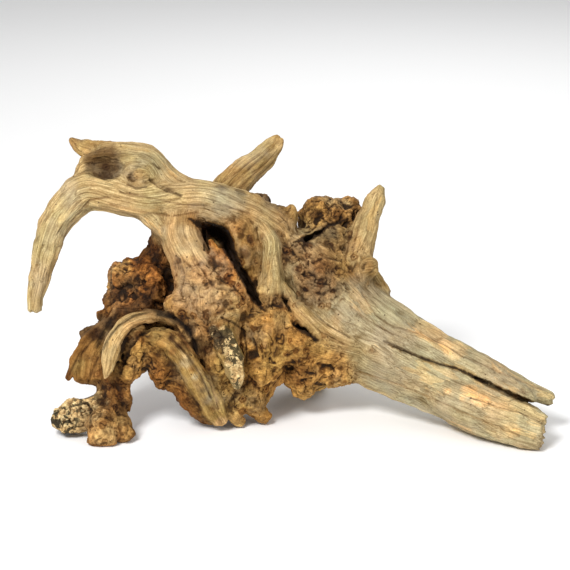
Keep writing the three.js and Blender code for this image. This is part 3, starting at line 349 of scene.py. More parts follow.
        "brownTongue": 0.35, "lichenFoot": 0.4, "legSplinter": 0.3, "earRim": 0.4, "burl": 0.5, "leftLeg": 0.6,
    },
    "calm": {  # how strongly the grain streaks show, 1 elsewhere
        "trunk": 0.32, "upperProng": 0.36, "lowerProng": 0.34, "archedBranch": 0.68, "barkRidge": 0.5,
        "columnFlare": 0.6, "column": 0.5, "hookStrip": 0.5, "frontWedge": 0.6, "upperLobe": 0.5, "rightHorn": 0.5,
        "backStub": 0.8, "oliveRoot": 0.7, "brownTongue": 0.15, "backRib": 0.8, "backSpine": 0.75,
        "backShoulder": 0.75, "backLeg": 0.8,
    },
    "tones": {  # display colours, 0 to 255
        "straw": (196, 179, 139), "tan": (184, 161, 115), "greyTan": (180, 170, 141), "brownTan": (156, 123, 73),
        "olive": (158, 139, 88), "pink": (186, 152, 108), "pinkTan": (168, 134, 88), "honey": (168, 132, 76),
        "brown": (116, 78, 38), "russet": (122, 81, 40), "umber": (134, 103, 60), "dark": (64, 41, 20),
        "black": (22, 15, 9), "lichen": (196, 174, 128), "pale": (204, 178, 136), "grey": (156, 150, 128),
        "peach": (234, 198, 148), "sand": (184, 168, 128), "silver": (186, 174, 143), "foot": (172, 140, 92),
        "hollow": (96, 69, 38), "ochre": (180, 145, 88), "torn": (154, 102, 46), "cream": (226, 204, 160),
    },
    "knots": [  # pixel across, pixel down, radius
        (139, 175, 12.5), (368, 267, 8.5), (205, 278, 3.2), (195, 288, 3.6), (213, 283, 3.2), (194, 298, 3.0),
        (186, 283, 2.8), (227, 296, 3.4), (244, 253, 8.5), (252, 239, 6.5), (240, 231, 5.0), (262, 237, 3.4),
        (285, 250, 5.5), (284, 262, 4.5), (310, 246, 4.6), (178, 262, 3.0), (193, 270, 3.4), (229, 272, 6.0),
        (122, 272, 7.0), (152, 268, 6.0), (265, 347, 4.0), (180, 315, 3.6), (206, 323, 3.6), (300, 300, 4.6),
        (372, 350, 3.6), (201, 264, 3.0), (220, 302, 3.2), (175, 300, 3.2), (256, 262, 3.0), (277, 232, 3.2),
        (296, 268, 4.0),
    ],
    "roughPatches": [  # pixel across, pixel down, radius, share of burl
        (322, 278, 40, 0.75), (300, 252, 24, 0.75), (345, 262, 20, 0.5), (286, 232, 16, 0.5), (280, 304, 16, 0.8),
        (330, 368, 26, 0.6), (203, 292, 30, 0.55), (226, 303, 22, 0.55), (182, 302, 18, 0.55), (218, 268, 22, 0.6),
        (200, 322, 20, 0.6), (100, 168, 16, 0.3), (250, 240, 18, 0.3), (110, 410, 24, 0.6), (190, 326, 22, 0.65),
        (222, 324, 16, 0.6), (214, 340, 20, 0.85), (262, 300, 16, 0.7), (240, 226, 22, 0.45), (72, 414, 26, 0.8),
        (236, 252, 22, 0.5), (262, 296, 14, 0.7),
    ],
    "stains": [  # pixel across, pixel down, radius, tone, strength
        (222, 187, 9, "dark", 0.75), (240, 192, 8, "dark", 0.75), (104, 164, 28, "hollow", 0.85),
        (112, 168, 16, "dark", 0.35), (214, 336, 20, "brown", 0.75), (200, 345, 16, "dark", 0.6),
        (232, 312, 12, "tan", 0.6), (226, 322, 9, "dark", 0.5), (188, 322, 14, "brownTan", 0.6),
        (258, 300, 14, "brown", 0.6), (240, 300, 10, "brownTan", 0.5), (92, 153, 14, "hollow", 0.5),
        (75, 141, 12, "brown", 0.4), (106, 177, 9, "dark", 0.5), (160, 164, 16, "grey", 0.45),
        (168, 190, 7, "dark", 0.6), (38, 296, 16, "brownTan", 0.4), (190, 223, 14, "honey", 0.55),
        (206, 226, 10, "brown", 0.6), (232, 203, 24, "grey", 0.6), (212, 196, 18, "greyTan", 0.6),
        (240, 226, 24, "brownTan", 0.6), (244, 253, 9, "dark", 0.75), (251, 240, 6, "dark", 0.6),
        (285, 213, 18, "brownTan", 0.6), (262, 228, 12, "pale", 0.6), (264, 252, 12, "straw", 0.6),
        (280, 303, 15, "brown", 0.85), (186, 240, 22, "straw", 0.7), (178, 264, 8, "brown", 0.5),
        (197, 318, 16, "brownTan", 0.6), (214, 240, 9, "tan", 0.6), (150, 276, 18, "brown", 0.6),
        # painted shadow: the black stain at pixel (168, 274) fills the deep gap left of the column
        (122, 268, 12, "honey", 0.7), (168, 274, 13, "black", 0.85), (150, 250, 14, "dark", 0.8),
        (126, 256, 12, "dark", 0.7), (140, 300, 14, "dark", 0.6), (86, 358, 24, "brownTan", 0.5),
        (70, 384, 10, "brown", 0.6), (112, 402, 18, "brown", 0.7), (124, 420, 10, "dark", 0.6),
        (104, 436, 14, "tan", 0.7), (172, 339, 6, "dark", 0.85), (182, 346, 8, "dark", 0.5),
        (187, 363, 9, "grey", 0.6), (199, 384, 9, "brownTan", 0.5), (208, 402, 7, "dark", 0.4),
        (222, 424, 11, "pale", 0.9), (166, 386, 16, "honey", 0.4), (160, 345, 10, "honey", 0.5),
        (280, 322, 14, "tan", 0.5), (252, 355, 8, "dark", 0.7), (255, 397, 14, "honey", 0.6),
        (272, 417, 8, "tan", 0.7), (318, 282, 36, "brown", 0.8), (345, 272, 16, "brownTan", 0.7),
        (296, 250, 18, "brown", 0.7), (308, 244, 8, "black", 0.8), (354, 246, 13, "honey", 0.4),
        (372, 192, 14, "pale", 0.6), (330, 326, 14, "pale", 0.45), (322, 310, 10, "tan", 0.5),
        (480, 400, 9, "peach", 0.8), (462, 398, 4, "peach", 0.7), (432, 330, 20, "peach", 0.5),
        (455, 350, 14, "peach", 0.5), (335, 366, 22, "ochre", 0.6), (300, 375, 16, "brown", 0.5),
        (405, 345, 16, "grey", 0.4), (390, 365, 18, "grey", 0.35), (500, 420, 20, "peach", 0.3),
        (425, 390, 26, "straw", 0.4), (213, 244, 9, "torn", 0.95), (218, 258, 12, "torn", 0.95),
        (228, 275, 13, "torn", 0.95), (238, 291, 9, "torn", 0.9), (130, 312, 13, "dark", 0.7),
        (110, 324, 10, "dark", 0.7), (98, 336, 9, "dark", 0.6), (154, 308, 11, "dark", 0.6),
        (150, 291, 11, "dark", 0.7), (120, 291, 9, "dark", 0.7), (137, 283, 6, "dark", 0.6),
        (126, 264, 7, "ochre", 0.8), (206, 287, 9, "cream", 0.35), (196, 300, 9, "pink", 0.6),
        (216, 292, 7, "cream", 0.4), (190, 250, 12, "cream", 0.3), (326, 200, 9, "tan", 0.85),
        (346, 206, 8, "tan", 0.8), (316, 216, 9, "dark", 0.85), (338, 216, 9, "dark", 0.8),
        (334, 192, 8, "straw", 0.5), (318, 226, 8, "honey", 0.6), (330, 232, 12, "dark", 0.5),
        (108, 398, 13, "brown", 0.8), (120, 412, 11, "dark", 0.6), (98, 424, 11, "foot", 0.8),
        (110, 436, 10, "straw", 0.35), (226, 330, 8, "olive", 0.8), (218, 340, 9, "dark", 0.6),
        (500, 388, 7, "brown", 0.7), (520, 396, 8, "brown", 0.7), (480, 379, 5, "brown", 0.6),
        (190, 330, 9, "dark", 0.7), (178, 322, 8, "dark", 0.6), (176, 321, 7, "black", 0.6),
        (188, 333, 8, "black", 0.7), (195, 347, 7, "black", 0.7), (112, 398, 15, "dark", 0.5),
        (178, 346, 5, "dark", 0.7), (191, 369, 5, "brown", 0.7), (203, 391, 5, "dark", 0.6),
        (213, 409, 5, "brown", 0.7), (195, 377, 5, "grey", 0.8), (184, 355, 5, "straw", 0.6),
        (209, 398, 5, "grey", 0.7), (172, 352, 6, "brown", 0.6), (202, 256, 8, "cream", 0.5),
        (180, 250, 7, "straw", 0.6), (206, 268, 6, "brown", 0.5), (172, 286, 8, "brown", 0.6),
        (186, 306, 7, "brown", 0.5), (232, 314, 7, "brownTan", 0.6), (178, 282, 9, "brownTan", 0.55),
        # painted shadow: the hollow and dark stains at pixels (206, 317), (222, 318) and (192, 321) lie under the
        # column's overhang
        (169, 301, 11, "brownTan", 0.75), (180, 316, 12, "brownTan", 0.7), (206, 317, 9, "hollow", 0.6),
        (222, 318, 9, "hollow", 0.6), (192, 321, 7, "dark", 0.5), (206, 286, 12, "pink", 0.6),
        (221, 298, 10, "pink", 0.7), (80, 370, 13, "olive", 0.5), (96, 334, 12, "dark", 0.8),
        (112, 322, 12, "dark", 0.8), (122, 311, 10, "dark", 0.8), (100, 420, 10, "foot", 0.8),
        (118, 425, 10, "foot", 0.7), (108, 433, 12, "tan", 0.7), (470, 390, 8, "peach", 0.85),
        (448, 390, 3.5, "peach", 0.8), (446, 344, 8, "peach", 0.8), (336, 318, 8, "pale", 0.7),
        (512, 430, 9, "peach", 0.6), (256, 283, 5, "black", 0.8), (179, 259, 3.5, "dark", 0.8),
        (112, 296, 7, "black", 0.6), (140, 261, 6, "black", 0.6), (147, 300, 8, "black", 0.6),
        (100, 318, 8, "black", 0.6), (156, 258, 8, "black", 0.7), (130, 282, 5, "black", 0.5),
        # painted shadow: the black stains at pixels (161, 311), (171, 315) and (183, 325) lie in the gap below the
        # column
        (161, 311, 6, "black", 0.7), (171, 315, 6, "black", 0.7), (183, 325, 6, "black", 0.6),
        (114, 392, 14, "dark", 0.5), (108, 404, 12, "dark", 0.5), (125, 404, 8, "dark", 0.7),
        (104, 402, 8, "dark", 0.6), (112, 394, 16, "brown", 0.45), (122, 408, 9, "dark", 0.45),
        (254, 382, 13, "brown", 0.35), (133, 346, 13, "russet", 0.35), (128, 362, 11, "russet", 0.4),
        (114, 270, 8, "ochre", 0.5), (108, 284, 7, "honey", 0.5), (244, 253, 7, "dark", 0.5),
        (262, 300, 12, "brown", 0.6), (236, 226, 13, "pinkTan", 0.7), (258, 246, 9, "pinkTan", 0.6),
        (230, 212, 12, "greyTan", 0.5), (226, 250, 7, "dark", 0.5),
    ],
    "furrows": [  # depth, half width, tone, strength, then the pixels along it
        (2.2, 1.6, "dark", 0.8, [(150, 180), (158, 185), (168, 190), (182, 196)]),
        (2.0, 1.3, "dark", 0.8, [(153, 163), (160, 169)]),
        (1.6, 1.5, "dark", 0.7, [(128, 184), (136, 188), (147, 187)]),
        (2.0, 2.2, "dark", 0.6, [(94, 173), (103, 178), (112, 175)]),
        (1.0, 1.2, "brown", 0.45, [(362, 292), (368, 303), (376, 315), (388, 324), (405, 330), (420, 334),
            (440, 343), (460, 355), (490, 368), (520, 381), (546, 391)]),
        (0.7, 1.1, "brown", 0.4, [(350, 306), (362, 316), (375, 325), (395, 335)]),
        (1.6, 1.1, "dark", 0.8, [(384, 341), (394, 345), (405, 350), (430, 360)]),
        (1.2, 1.0, "dark", 0.7, [(470, 398), (500, 407), (520, 413), (541, 422)]),
        (1.0, 1.2, "brownTan", 0.6, [(360, 372), (400, 385), (440, 402), (490, 424), (520, 436)]),
        (3.0, 2.0, "black", 0.85, [(294, 324), (306, 331), (317, 341)]),
        (3.0, 1.6, "black", 0.8, [(253, 339), (255, 348), (256, 357)]),
        (3.0, 1.6, "black", 0.8, [(204, 230), (205, 242), (204, 252)]),
        (1.4, 1.8, "dark", 0.5, [(308, 264), (324, 258), (342, 262)]),
        (1.4, 1.8, "dark", 0.5, [(303, 290), (322, 294), (342, 288)]),
        (1.4, 1.6, "dark", 0.5, [(298, 272), (312, 280), (330, 278)]),
        (1.6, 1.8, "brown", 0.5, [(176, 256), (184, 274), (180, 294)]),
        (1.6, 1.8, "brown", 0.5, [(198, 262), (214, 288), (240, 291)]),
        (1.0, 1.0, "brown", 0.5, [(352, 257), (356, 236), (362, 214)]),
        (1.0, 1.0, "brown", 0.5, [(345, 260), (349, 240), (355, 222)]),
        (1.2, 1.0, "brown", 0.6, [(219, 184), (240, 170), (262, 152)]),
        (1.2, 1.0, "brown", 0.6, [(228, 187), (246, 172), (270, 149)]),
        (1.2, 1.0, "brown", 0.6, [(237, 190), (252, 176), (274, 155)]),
        (1.0, 1.4, "dark", 0.45, [(65, 382), (78, 357), (98, 334)]),
        (1.0, 1.4, "dark", 0.45, [(85, 391), (94, 366), (108, 342)]),
        (2.0, 1.4, "brown", 0.6, [(174, 264), (184, 261), (192, 267), (202, 262), (210, 268)]),
        (1.2, 1.2, "brown", 0.6, [(214, 270), (222, 280), (234, 286), (246, 300)]),
        (1.2, 1.0, "brown", 0.6, [(286, 288), (299, 311), (318, 330), (345, 345)]),
        (1.0, 1.0, "dark", 0.5, [(292, 282), (306, 305), (326, 324), (350, 338)]),
        (0.8, 1.0, "brownTan", 0.7, [(166, 320), (150, 319), (134, 326), (122, 340), (114, 358), (108, 374)]),
        # painted shadow: the black along the inside of the hook, on a shallow groove
        (2.5, 1.5, "black", 0.85, [(166, 328), (150, 330), (139, 336), (130, 348), (125, 360), (121, 374)]),
        (2.2, 1.7, "black", 0.8, [(158, 315), (174, 318), (187, 328), (195, 344), (197, 356)]),
        (0.0, 1.0, "tan", 0.35, [(163, 320), (176, 324), (186, 334), (192, 350)]),
        (2.0, 1.6, "dark", 0.8, [(166, 328), (178, 330), (186, 340), (191, 356)]),
        (2.0, 1.4, "black", 0.75, [(101, 352), (107, 340), (118, 326), (134, 316), (150, 312)]),
        (2.4, 1.5, "black", 0.8, [(88, 404), (91, 414), (90, 424), (85, 432)]),
        (2.0, 1.4, "black", 0.7, [(222, 318), (232, 322), (243, 330), (246, 345), (247, 362)]),
        # painted shadow: the black and dark strokes of depth 0 below lie in the gaps round the hook and are colour
        # alone
        (0.0, 4.0, "black", 0.85, [(152, 309), (166, 314), (180, 321), (191, 332), (196, 346)]),
        (0.0, 2.4, "black", 0.8, [(97, 346), (102, 334), (109, 323), (119, 314)]),
        (0.0, 2.8, "dark", 0.75, [(146, 329), (134, 338), (127, 350), (122, 364), (118, 378)]),
        (0.0, 2.2, "straw", 0.6, [(206, 322), (218, 317), (230, 314), (243, 316)]),
        (0.0, 2.4, "pale", 0.5, [(224, 219), (231, 226), (236, 238), (240, 248), (247, 246)]),
        (2.2, 1.5, "dark", 0.75, [(170, 338), (187, 354), (200, 374), (211, 398)]),
        (1.8, 1.2, "brown", 0.7, [(178, 334), (198, 358), (212, 386), (219, 410)]),
        (1.2, 1.2, "brown", 0.6, [(48, 300), (56, 262), (70, 224), (90, 200), (112, 196)]),
        (1.0, 1.1, "brown", 0.5, [(110, 204), (140, 212), (172, 216), (200, 212)]),
        (1.0, 1.1, "brown", 0.5, [(120, 192), (150, 198), (185, 205), (225, 206), (250, 214)]),
    ],
    "softShadeSpots": [  # spots where the painted shade in the hollows is left lighter: pixel across, pixel down, radius, share
        (104, 164, 34, 0.6), (520, 396, 36, 0.38),
    ],
    "dents": [  # pixel across, pixel down, radius, depth
        (98, 162, 12.0, 4.0), (112, 166, 11.0, 4.0), (104, 174, 6.0, 2.5), (36, 239, 4.5, 2.6), (31, 284, 4.5, 2.4),
        (38, 265, 1.7, 2.0), (94, 146, 1.8, 2.0), (57, 232, 7.0, 1.0), (212, 226, 6.0, 3.0), (240, 236, 7.0, 2.0),
        (270, 206, 6.0, 2.0), (120, 383, 5.0, 2.0), (71, 420, 6.0, 2.5), (84, 404, 5.0, 2.5), (60, 405, 5.0, 2.5),
        (92, 428, 5.0, 3.0), (114, 428, 6.0, 2.5), (128, 408, 5.0, 2.5), (256, 283, 3.0, 3.5), (179, 259, 2.4, 2.5),
        (363, 257, 2.6, 3.0), (306, 243, 6.0, 4.0), (322, 214, 7.0, 3.0), (338, 206, 6.0, 2.5),
        (310, 210, 6.0, 2.5), (262, 356, 6.0, 2.5), (284, 368, 4.0, 3.0), (228, 330, 4.0, 2.0),
        (243, 320, 5.0, 2.0), (176, 392, 7.0, 2.5),
    ],
    "tornEnds": {  # length of the splinters
        "lowerProng": 4.0, "upperProng": 2.2, "archedBranch": 1.2, "backStub": 1.4, "rightHorn": 1.0,
    },
    "crustPatches": [  # pixel across, pixel down, radius, strength
        (213, 332, 8, 0.8), (216, 345, 8, 0.8), (227, 334, 10, 0.85), (232, 348, 13, 0.9), (236, 362, 13, 0.9),
        (239, 377, 11, 0.9), (238, 389, 7, 0.6), (96, 412, 10, 0.4),
    ],
}


def toLinear(tone):  # display colour 0-255 to light
    c = np.array(tone, dtype=float) / 255
    return np.where(c <= 0.04045, c / 12.92, ((c + 0.055) / 1.055) ** 2.4)


def limbPath(stations):  # centre line, its frame, half sizes and length along, every 2 mm or so
    rows = np.array(stations, dtype=float)
    grow = 1 + rows[:, 2:3] / sight["eyeDistance"]
    centres = placeSight(rows[:, :3])
    halves = rows[:, 3:5] * grow
    cp = np.vstack([2 * centres[0] - centres[1], centres, 2 * centres[-1] - centres[-2]])
    hp = np.vstack([halves[0], halves, halves[-1]])
    line, half = [], []
    for i in range(len(rows) - 1):
        x0, x1, x2, x3 = cp[i], cp[i + 1], cp[i + 2], cp[i + 3]
        g0, g1, g2 = (math.sqrt(max(np.linalg.norm(q - p), 1e-6)) for p, q in ((x0, x1), (x1, x2), (x2, x3)))
        m1 = ((x1 - x0) / g0 - (x2 - x0) / (g0 + g1) + (x2 - x1) / g1) * g1
        m2 = ((x2 - x1) / g1 - (x3 - x1) / (g1 + g2) + (x3 - x2) / g2) * g1
        n1 = 0.5 * (hp[i + 2] - hp[i])
        n2 = 0.5 * (hp[i + 3] - hp[i + 1])
        steps = max(3, int(np.linalg.norm(x2 - x1) / wood["pathStep"]))
        t = (np.arange(steps + (1 if i == len(rows) - 2 else 0)) / steps)[:, None]
        b1, b2 = 2 * t ** 3 - 3 * t ** 2 + 1, t ** 3 - 2 * t ** 2 + t
        b3, b4 = -2 * t ** 3 + 3 * t ** 2, t ** 3 - t ** 2
        line.append(b1 * x1 + b2 * m1 + b3 * x2 + b4 * m2)
        half.append(b1 * hp[i + 1] + b2 * n1 + b3 * hp[i + 2] + b4 * n2)
    line, half = np.vstack(line), np.maximum(np.vstack(half), 0.5)
    along = np.gradient(line, axis=0)
    along /= np.linalg.norm(along, axis=1)[:, None]
    wide = np.cross(along, sightAhead)
    wide /= np.linalg.norm(wide, axis=1)[:, None]
    deep = np.cross(wide, along)
    length = np.concatenate([[0], np.cumsum(np.linalg.norm(np.diff(line, axis=0), axis=1))])
    return {"line": line, "along": along, "wide": wide, "deep": deep, "half": half, "length": length}


def measureLimb(path, points, margin):  # the points near a limb, how far outside it, and where along and across it
    reach = path["half"].max() + margin
    low, high = path["line"].min(0) - reach, path["line"].max(0) + reach
    near = np.nonzero(((points > low) & (points < high)).all(1))[0]
    if len(near) == 0:
        return near, np.zeros(0), np.zeros((0, 3))
    p = points[near]
    pick = np.empty(len(p), dtype=np.int64)
    lineSq = (path["line"] ** 2).sum(1)
    for start in range(0, len(p), wood["blockSize"]):
        part = slice(start, start + wood["blockSize"])
        pick[part] = np.argmin(lineSq - 2 * p[part] @ path["line"].T, axis=1)
    off = p - path["line"][pick]
    s = (off * path["along"][pick]).sum(1)
    a = (off * path["wide"][pick]).sum(1)
    b = (off * path["deep"][pick]).sum(1)
    ratio = np.sqrt((a / path["half"][pick, 0]) ** 2 + (b / path["half"][pick, 1]) ** 2) + 1e-6
    outside = np.sqrt(a * a + b * b) * (1 - 1 / ratio)
    past = np.maximum(np.abs(s) - wood["endSlack"], 0)
    outside = np.where(past > 0, np.sqrt(np.maximum(outside, 0) ** 2 + past ** 2) + np.minimum(outside, 0), outside)
    return near, outside, np.stack([path["length"][pick] + s, a, b], 1)


def measureBurl(row, points, margin):
    centre = placeSight([row[:3]])[0]
    half = np.array(row[3:6]) * (1 + row[2] / sight["eyeDistance"])
    off = points - centre
    near = np.nonzero((np.abs(off).max(1) < half.max() + margin))[0]
    off = off[near]
    local = np.stack([off @ sightRight, off @ sightTop, off @ sightAhead], 1)
    ratio = np.sqrt(((local / half) ** 2).sum(1)) + 1e-6
    return near, np.sqrt((local ** 2).sum(1)) * (1 - 1 / ratio), local


limbPaths = {name: limbPath(rows) for name, rows in wood["limbs"].items()}
slotPaths = {name: limbPath(rows) for name, rows in wood["slots"].items()}


def surveyWood(points, margin=wood["surveyReach"]):  # every limb and burl near each point
    survey = [(name, *measureLimb(path, points, margin)) for name, path in limbPaths.items()]
    rag = wood["ragged"]
    for i, row in enumerate(wood["burls"]):
        near, outside, local = measureBurl(row, points, margin)
        outside = outside + rag["height"] * waver(points[near] / rag["size"], rag["seed"])
        survey.append(("burl%02d" % i, near, outside, local))
    return survey


def blendShare(name, outside, nearest):  # how much a limb or burl counts at points that lie nearer to another
    reach = wood["burlBlend"] if name.startswith("burl") else wood["blend"]
    return np.exp(-np.maximum(outside - nearest, 0) / reach)


def lookOf(name):
    if name in wood["looks"]:
        return wood["looks"][name]
    row = wood["burls"][int(name[4:])]
    return row[6], wood["burlGrain"], row[7]


# mesh helpers on arrays
def meshArrays(mesh):
    verts = np.empty(len(mesh.vertices) * 3, dtype=np.float32)
    mesh.vertices.foreach_get("co", verts)
    mesh.calc_loop_triangles()
    tris = np.empty(len(mesh.loop_triangles) * 3, dtype=np.int32)
    mesh.loop_triangles.foreach_get("vertices", tris)
    return verts.reshape(-1, 3).astype(np.float64) * mmPerMetre, tris.reshape(-1, 3)


def neighbourTable(tris, count):  # each vertex's neighbours as one flat list with starts
    pairs = np.vstack([tris[:, [0, 1]], tris[:, [1, 2]], tris[:, [2, 0]]])
    pairs = np.vstack([pairs, pairs[:, ::-1]])
    keys = np.unique(pairs[:, 0].astype(np.int64) * count + pairs[:, 1])
    owner, other = keys // count, keys % count
    starts = np.searchsorted(owner, np.arange(count))
    return other, starts, np.maximum(np.bincount(owner, minlength=count), 1)


def neighbourMean(values, table):
    other, starts, number = table
    total = np.add.reduceat(values[other], starts, axis=0)
    return total / (number[:, None] if values.ndim == 2 else number)


def meanOver(values, table, turns):  # the neighbours' mean, taken several times
    for turn in range(turns):
        values = neighbourMean(values, table)
    return values


def easeFacets(verts, table, turns, pull, push):  # smoothing in place that gives back what it shrinks
    for turn in range(turns):
        verts += pull * (neighbourMean(verts, table) - verts)
        verts -= push * (neighbourMean(verts, table) - verts)


def vertexNormals(verts, tris):
    face = np.cross(verts[tris[:, 1]] - verts[tris[:, 0]], verts[tris[:, 2]] - verts[tris[:, 0]])
    normal = np.zeros_like(verts)
    for corner in range(3):
        for axis in range(3):
            normal[:, axis] += np.bincount(tris[:, corner], weights=face[:, axis], minlength=len(verts))
    return normal / (np.linalg.norm(normal, axis=1)[:, None] + 1e-12)


def withModifier(mesh, name, kind, settings):  # a modifier run on a mesh, given back as a plain mesh
    holder = bpy.data.objects.new(name, mesh)
    scene.collection.objects.link(holder)
    step = holder.modifiers.new(kind, kind)
    for key, value in settings.items():
        setattr(step, key, value)
    graph = bpy.context.evaluated_depsgraph_get()
    result = bpy.data.meshes.new_from_object(holder.evaluated_get(graph))
    bpy.data.objects.remove(holder)
    return result


def setVerts(mesh, verts):
    mesh.vertices.foreach_set("co", (verts / mmPerMetre).astype(np.float32).ravel())
    mesh.update()


def nearestOf(survey, count):
    nearest = np.full(count, 99.0)
    for name, near, outside, sab in survey:
        np.minimum.at(nearest, near, outside)
    return nearest


def filletShare(verts):  # how far creases are filled: little at strips and burls, not at all in slots
    fillet = wood["fillet"]
    survey = surveyWood(verts, fillet["reach"])
    nearest = nearestOf(survey, len(verts))
    total, weight = np.zeros(len(verts)), np.full(len(verts), 1e-6)
    for name, near, outside, sab in survey:
        share = np.exp(-np.maximum(outside - nearest[near], 0) / fillet["blend"])
        total[near] += share * wood["crisp"].get(name if name in limbPaths else "burl", 1.0)
        weight[near] += share
    total = (total / weight) ** fillet["power"]
    for path in slotPaths.values():
        near, outside, sab = measureLimb(path, verts, 6.0)
        total[near] *= ramp(1.0, 3.5, outside)
    return total


def burlShare(verts, blended):  # burl of the limbs, and the rough patches on top of it
    edge = 5.0 * waver(verts / 17.0, 63)
    for centre, radius, strength in skinMarks["roughPatches"]:
        gap = np.linalg.norm(verts - centre, axis=1) + edge
        blended = np.maximum(blended, strength * ramp(radius, 0.5 * radius, gap))
    return blended


# 1. the solid's surface as one even skin, facets eased away and creases between limbs filled a little
def evenSkin():
    raw = bmesh.new()
    raw.from_mesh(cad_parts["driftwood"].data)
    bmesh.ops.remove_doubles(raw, verts=raw.verts, dist=1e-6)
    source = bpy.data.meshes.new("skinSource")
    raw.to_mesh(source)
    raw.free()
    mesh = withModifier(source, "skinSource", "REMESH", {"mode": "VOXEL", "voxel_size": wood["voxel"]})
    verts, tris = meshArrays(mesh)
    table = neighbourTable(tris, len(verts))
    easeFacets(verts, table, **wood["facets"])
    fillet = wood["fillet"]
    share = filletShare(verts)
    for turn in range(fillet["turns"]):
        pull = meanOver(verts, table, fillet["rings"])
        normal = vertexNormals(verts, tris)
        out = np.maximum(((pull - verts) * normal).sum(1), 0)
        verts += (fillet["step"] * share * out)[:, None] * normal
    easeFacets(verts, table, **wood["settle"])
    print("even skin:", len(verts), "points,", len(tris), "triangles")
    return mesh, verts, tris


def castFromEye(tree, px, py):  # where the line of sight through a pixel meets the wood
    aim = placeSight([(px - sight["pixelAcross"], sight["pixelUp"] - py, 0.0)])[0] - eye
    hit = tree.ray_cast(Vector(eye), Vector(aim).normalized())
    return None if hit[0] is None else np.array(hit[0])


def grainWarp(points, near, sab, name, knots):  # grain lines wander a little and part round the knots
    p = points[near]
    sab = sab.copy()
    sab[:, 1] += 2.2 * waver(p / 38.0, 11) + 0.8 * waver(p / 15.0, 12)
    sab[:, 2] += 2.2 * waver(p / 38.0, 13) + 0.8 * waver(p / 15.0, 14)
    path = limbPaths.get(name)
    if path is None:
        return sab
    for centre, radius in knots:
        spot, outside, at = measureLimb(path, centre[None, :], 30.0)
        if len(spot) == 0 or outside[0] > 14:
            continue
        gap = np.linalg.norm(p - centre, axis=1)
        part = radius ** 2 / np.maximum(gap, radius) ** 2 * ramp(6 * radius, 2.5 * radius, gap)
        sab[:, 1] -= (sab[:, 1] - at[0, 1]) * part * 0.95
        sab[:, 2] -= (sab[:, 2] - at[0, 2]) * part * 0.95
    return sab


def grainRelief(sab, seed):  # long flutes, fine ridges and open checks along the grain, in grain heights
    rise = sum(height * waver(sab / np.array([along, across, across]), seed + i)
               for i, (along, across, height) in enumerate(wood["grain"]))
    form = wood["check"]
    line = waver(sab / np.array([form["along"], form["across"], form["across"]]), seed + 3)
    where = waver(sab / np.array([form["whereAlong"], form["whereAcross"], form["whereAcross"]]), seed + 4)
    check = ramp(form["half"], 0.0, np.abs(line)) * ramp(0.0, 0.25, where)
    return rise - form["depth"] * check


def burlRelief(points):  # gnarled lumps, broken ledges, splits between them, and small pits
    drift = np.stack([waver(points / 24.0, 21), waver(points / 24.0, 22), waver(points / 24.0, 23)], 1)
    p = points + 8.0 * drift
    lumps = np.abs(waver(p / 25.0, 24))
    level = 3.4 * roughWaver(p / 15.0, 2, 25)
    ledge = np.floor(level) + ramp(0.25, 0.6, level - np.floor(level))
    split = ramp(0.07, 0.0, np.abs(waver(p / 15.0, 28) + 0.3 * waver(p / 6.0, 29)))
    beads = waver(points / 4.6, 26)
    first, second, mark = cells(p / 9.0, 27)
    pits = ramp(0.34, 0.08, first) * (mark > 0.62)
    form = wood["burlForm"]
    return (form["lump"] * (lumps - 0.22) + form["ledge"] * ledge - form["split"] * split
            + form["bead"] * beads - form["pit"] * pits)


def onWood(tree, rows):  # rows that start with a pixel, with the point of the wood that it shows in its place
    cast = [(castFromEye(tree, row[0], row[1]), *row[2:]) for row in rows]
    return [row for row in cast if row[0] is not None]


def furrowLine(tree, pixels):  # points of the wood under a line drawn on the picture, a pixel or so apart
    found = []
    for start, end in zip(pixels[:-1], pixels[1:]):
        steps = max(2, int(math.dist(start, end) / 1.2))
        for i in range(steps):
            t = i / steps
            spot = castFromEye(tree, start[0] + t * (end[0] - start[0]), start[1] + t * (end[1] - start[1]))
            if spot is not None:
                found.append(spot)
    return np.array(found)


def lineGap(verts, line, reach):  # the points near a line, and how far from it they are
    near = np.nonzero(((verts > line.min(0) - reach) & (verts < line.max(0) + reach)).all(1))[0]
    gap = np.full(len(near), 99.0)
    for spot in line:
        np.minimum(gap, np.linalg.norm(verts[near] - spot, axis=1), out=gap)
    keep = gap < reach
    return near[keep], gap[keep]


def placeMarks(verts, tris):  # every mark drawn on the picture, set on a surface
    tree = BVHTree.FromPolygons(verts.tolist(), tris.tolist())
    marks = {key: onWood(tree, wood[key])
             for key in ("knots", "stains", "roughPatches", "crustPatches", "softShadeSpots", "dents")}
    marks["furrows"] = [(furrowLine(tree, row[4]), *row[:4]) for row in wood["furrows"]]
    marks["furrows"] = [row for row in marks["furrows"] if len(row[0])]
    return marks


skinMesh, skin, skinTris = evenSkin()
skinMarks = placeMarks(skin, skinTris)
print("marks placed:", {key: len(rows) for key, rows in skinMarks.items()})


def knotRing(verts, centre, radius):  # points round a knot, radii from its middle, bent, and where its ring is open
    near = np.nonzero((np.abs(verts - centre) < 2.5 * radius).all(1))[0]
    p = verts[near]
    bend = 0.28 * waver(p / (0.9 * radius), 51) + 0.12 * waver(p / (0.4 * radius), 52)
    ringed = ramp(-0.25, 0.2, waver(p / (0.9 * radius), 53))
    return near, np.linalg.norm(p - centre, axis=1) / radius + bend, ringed


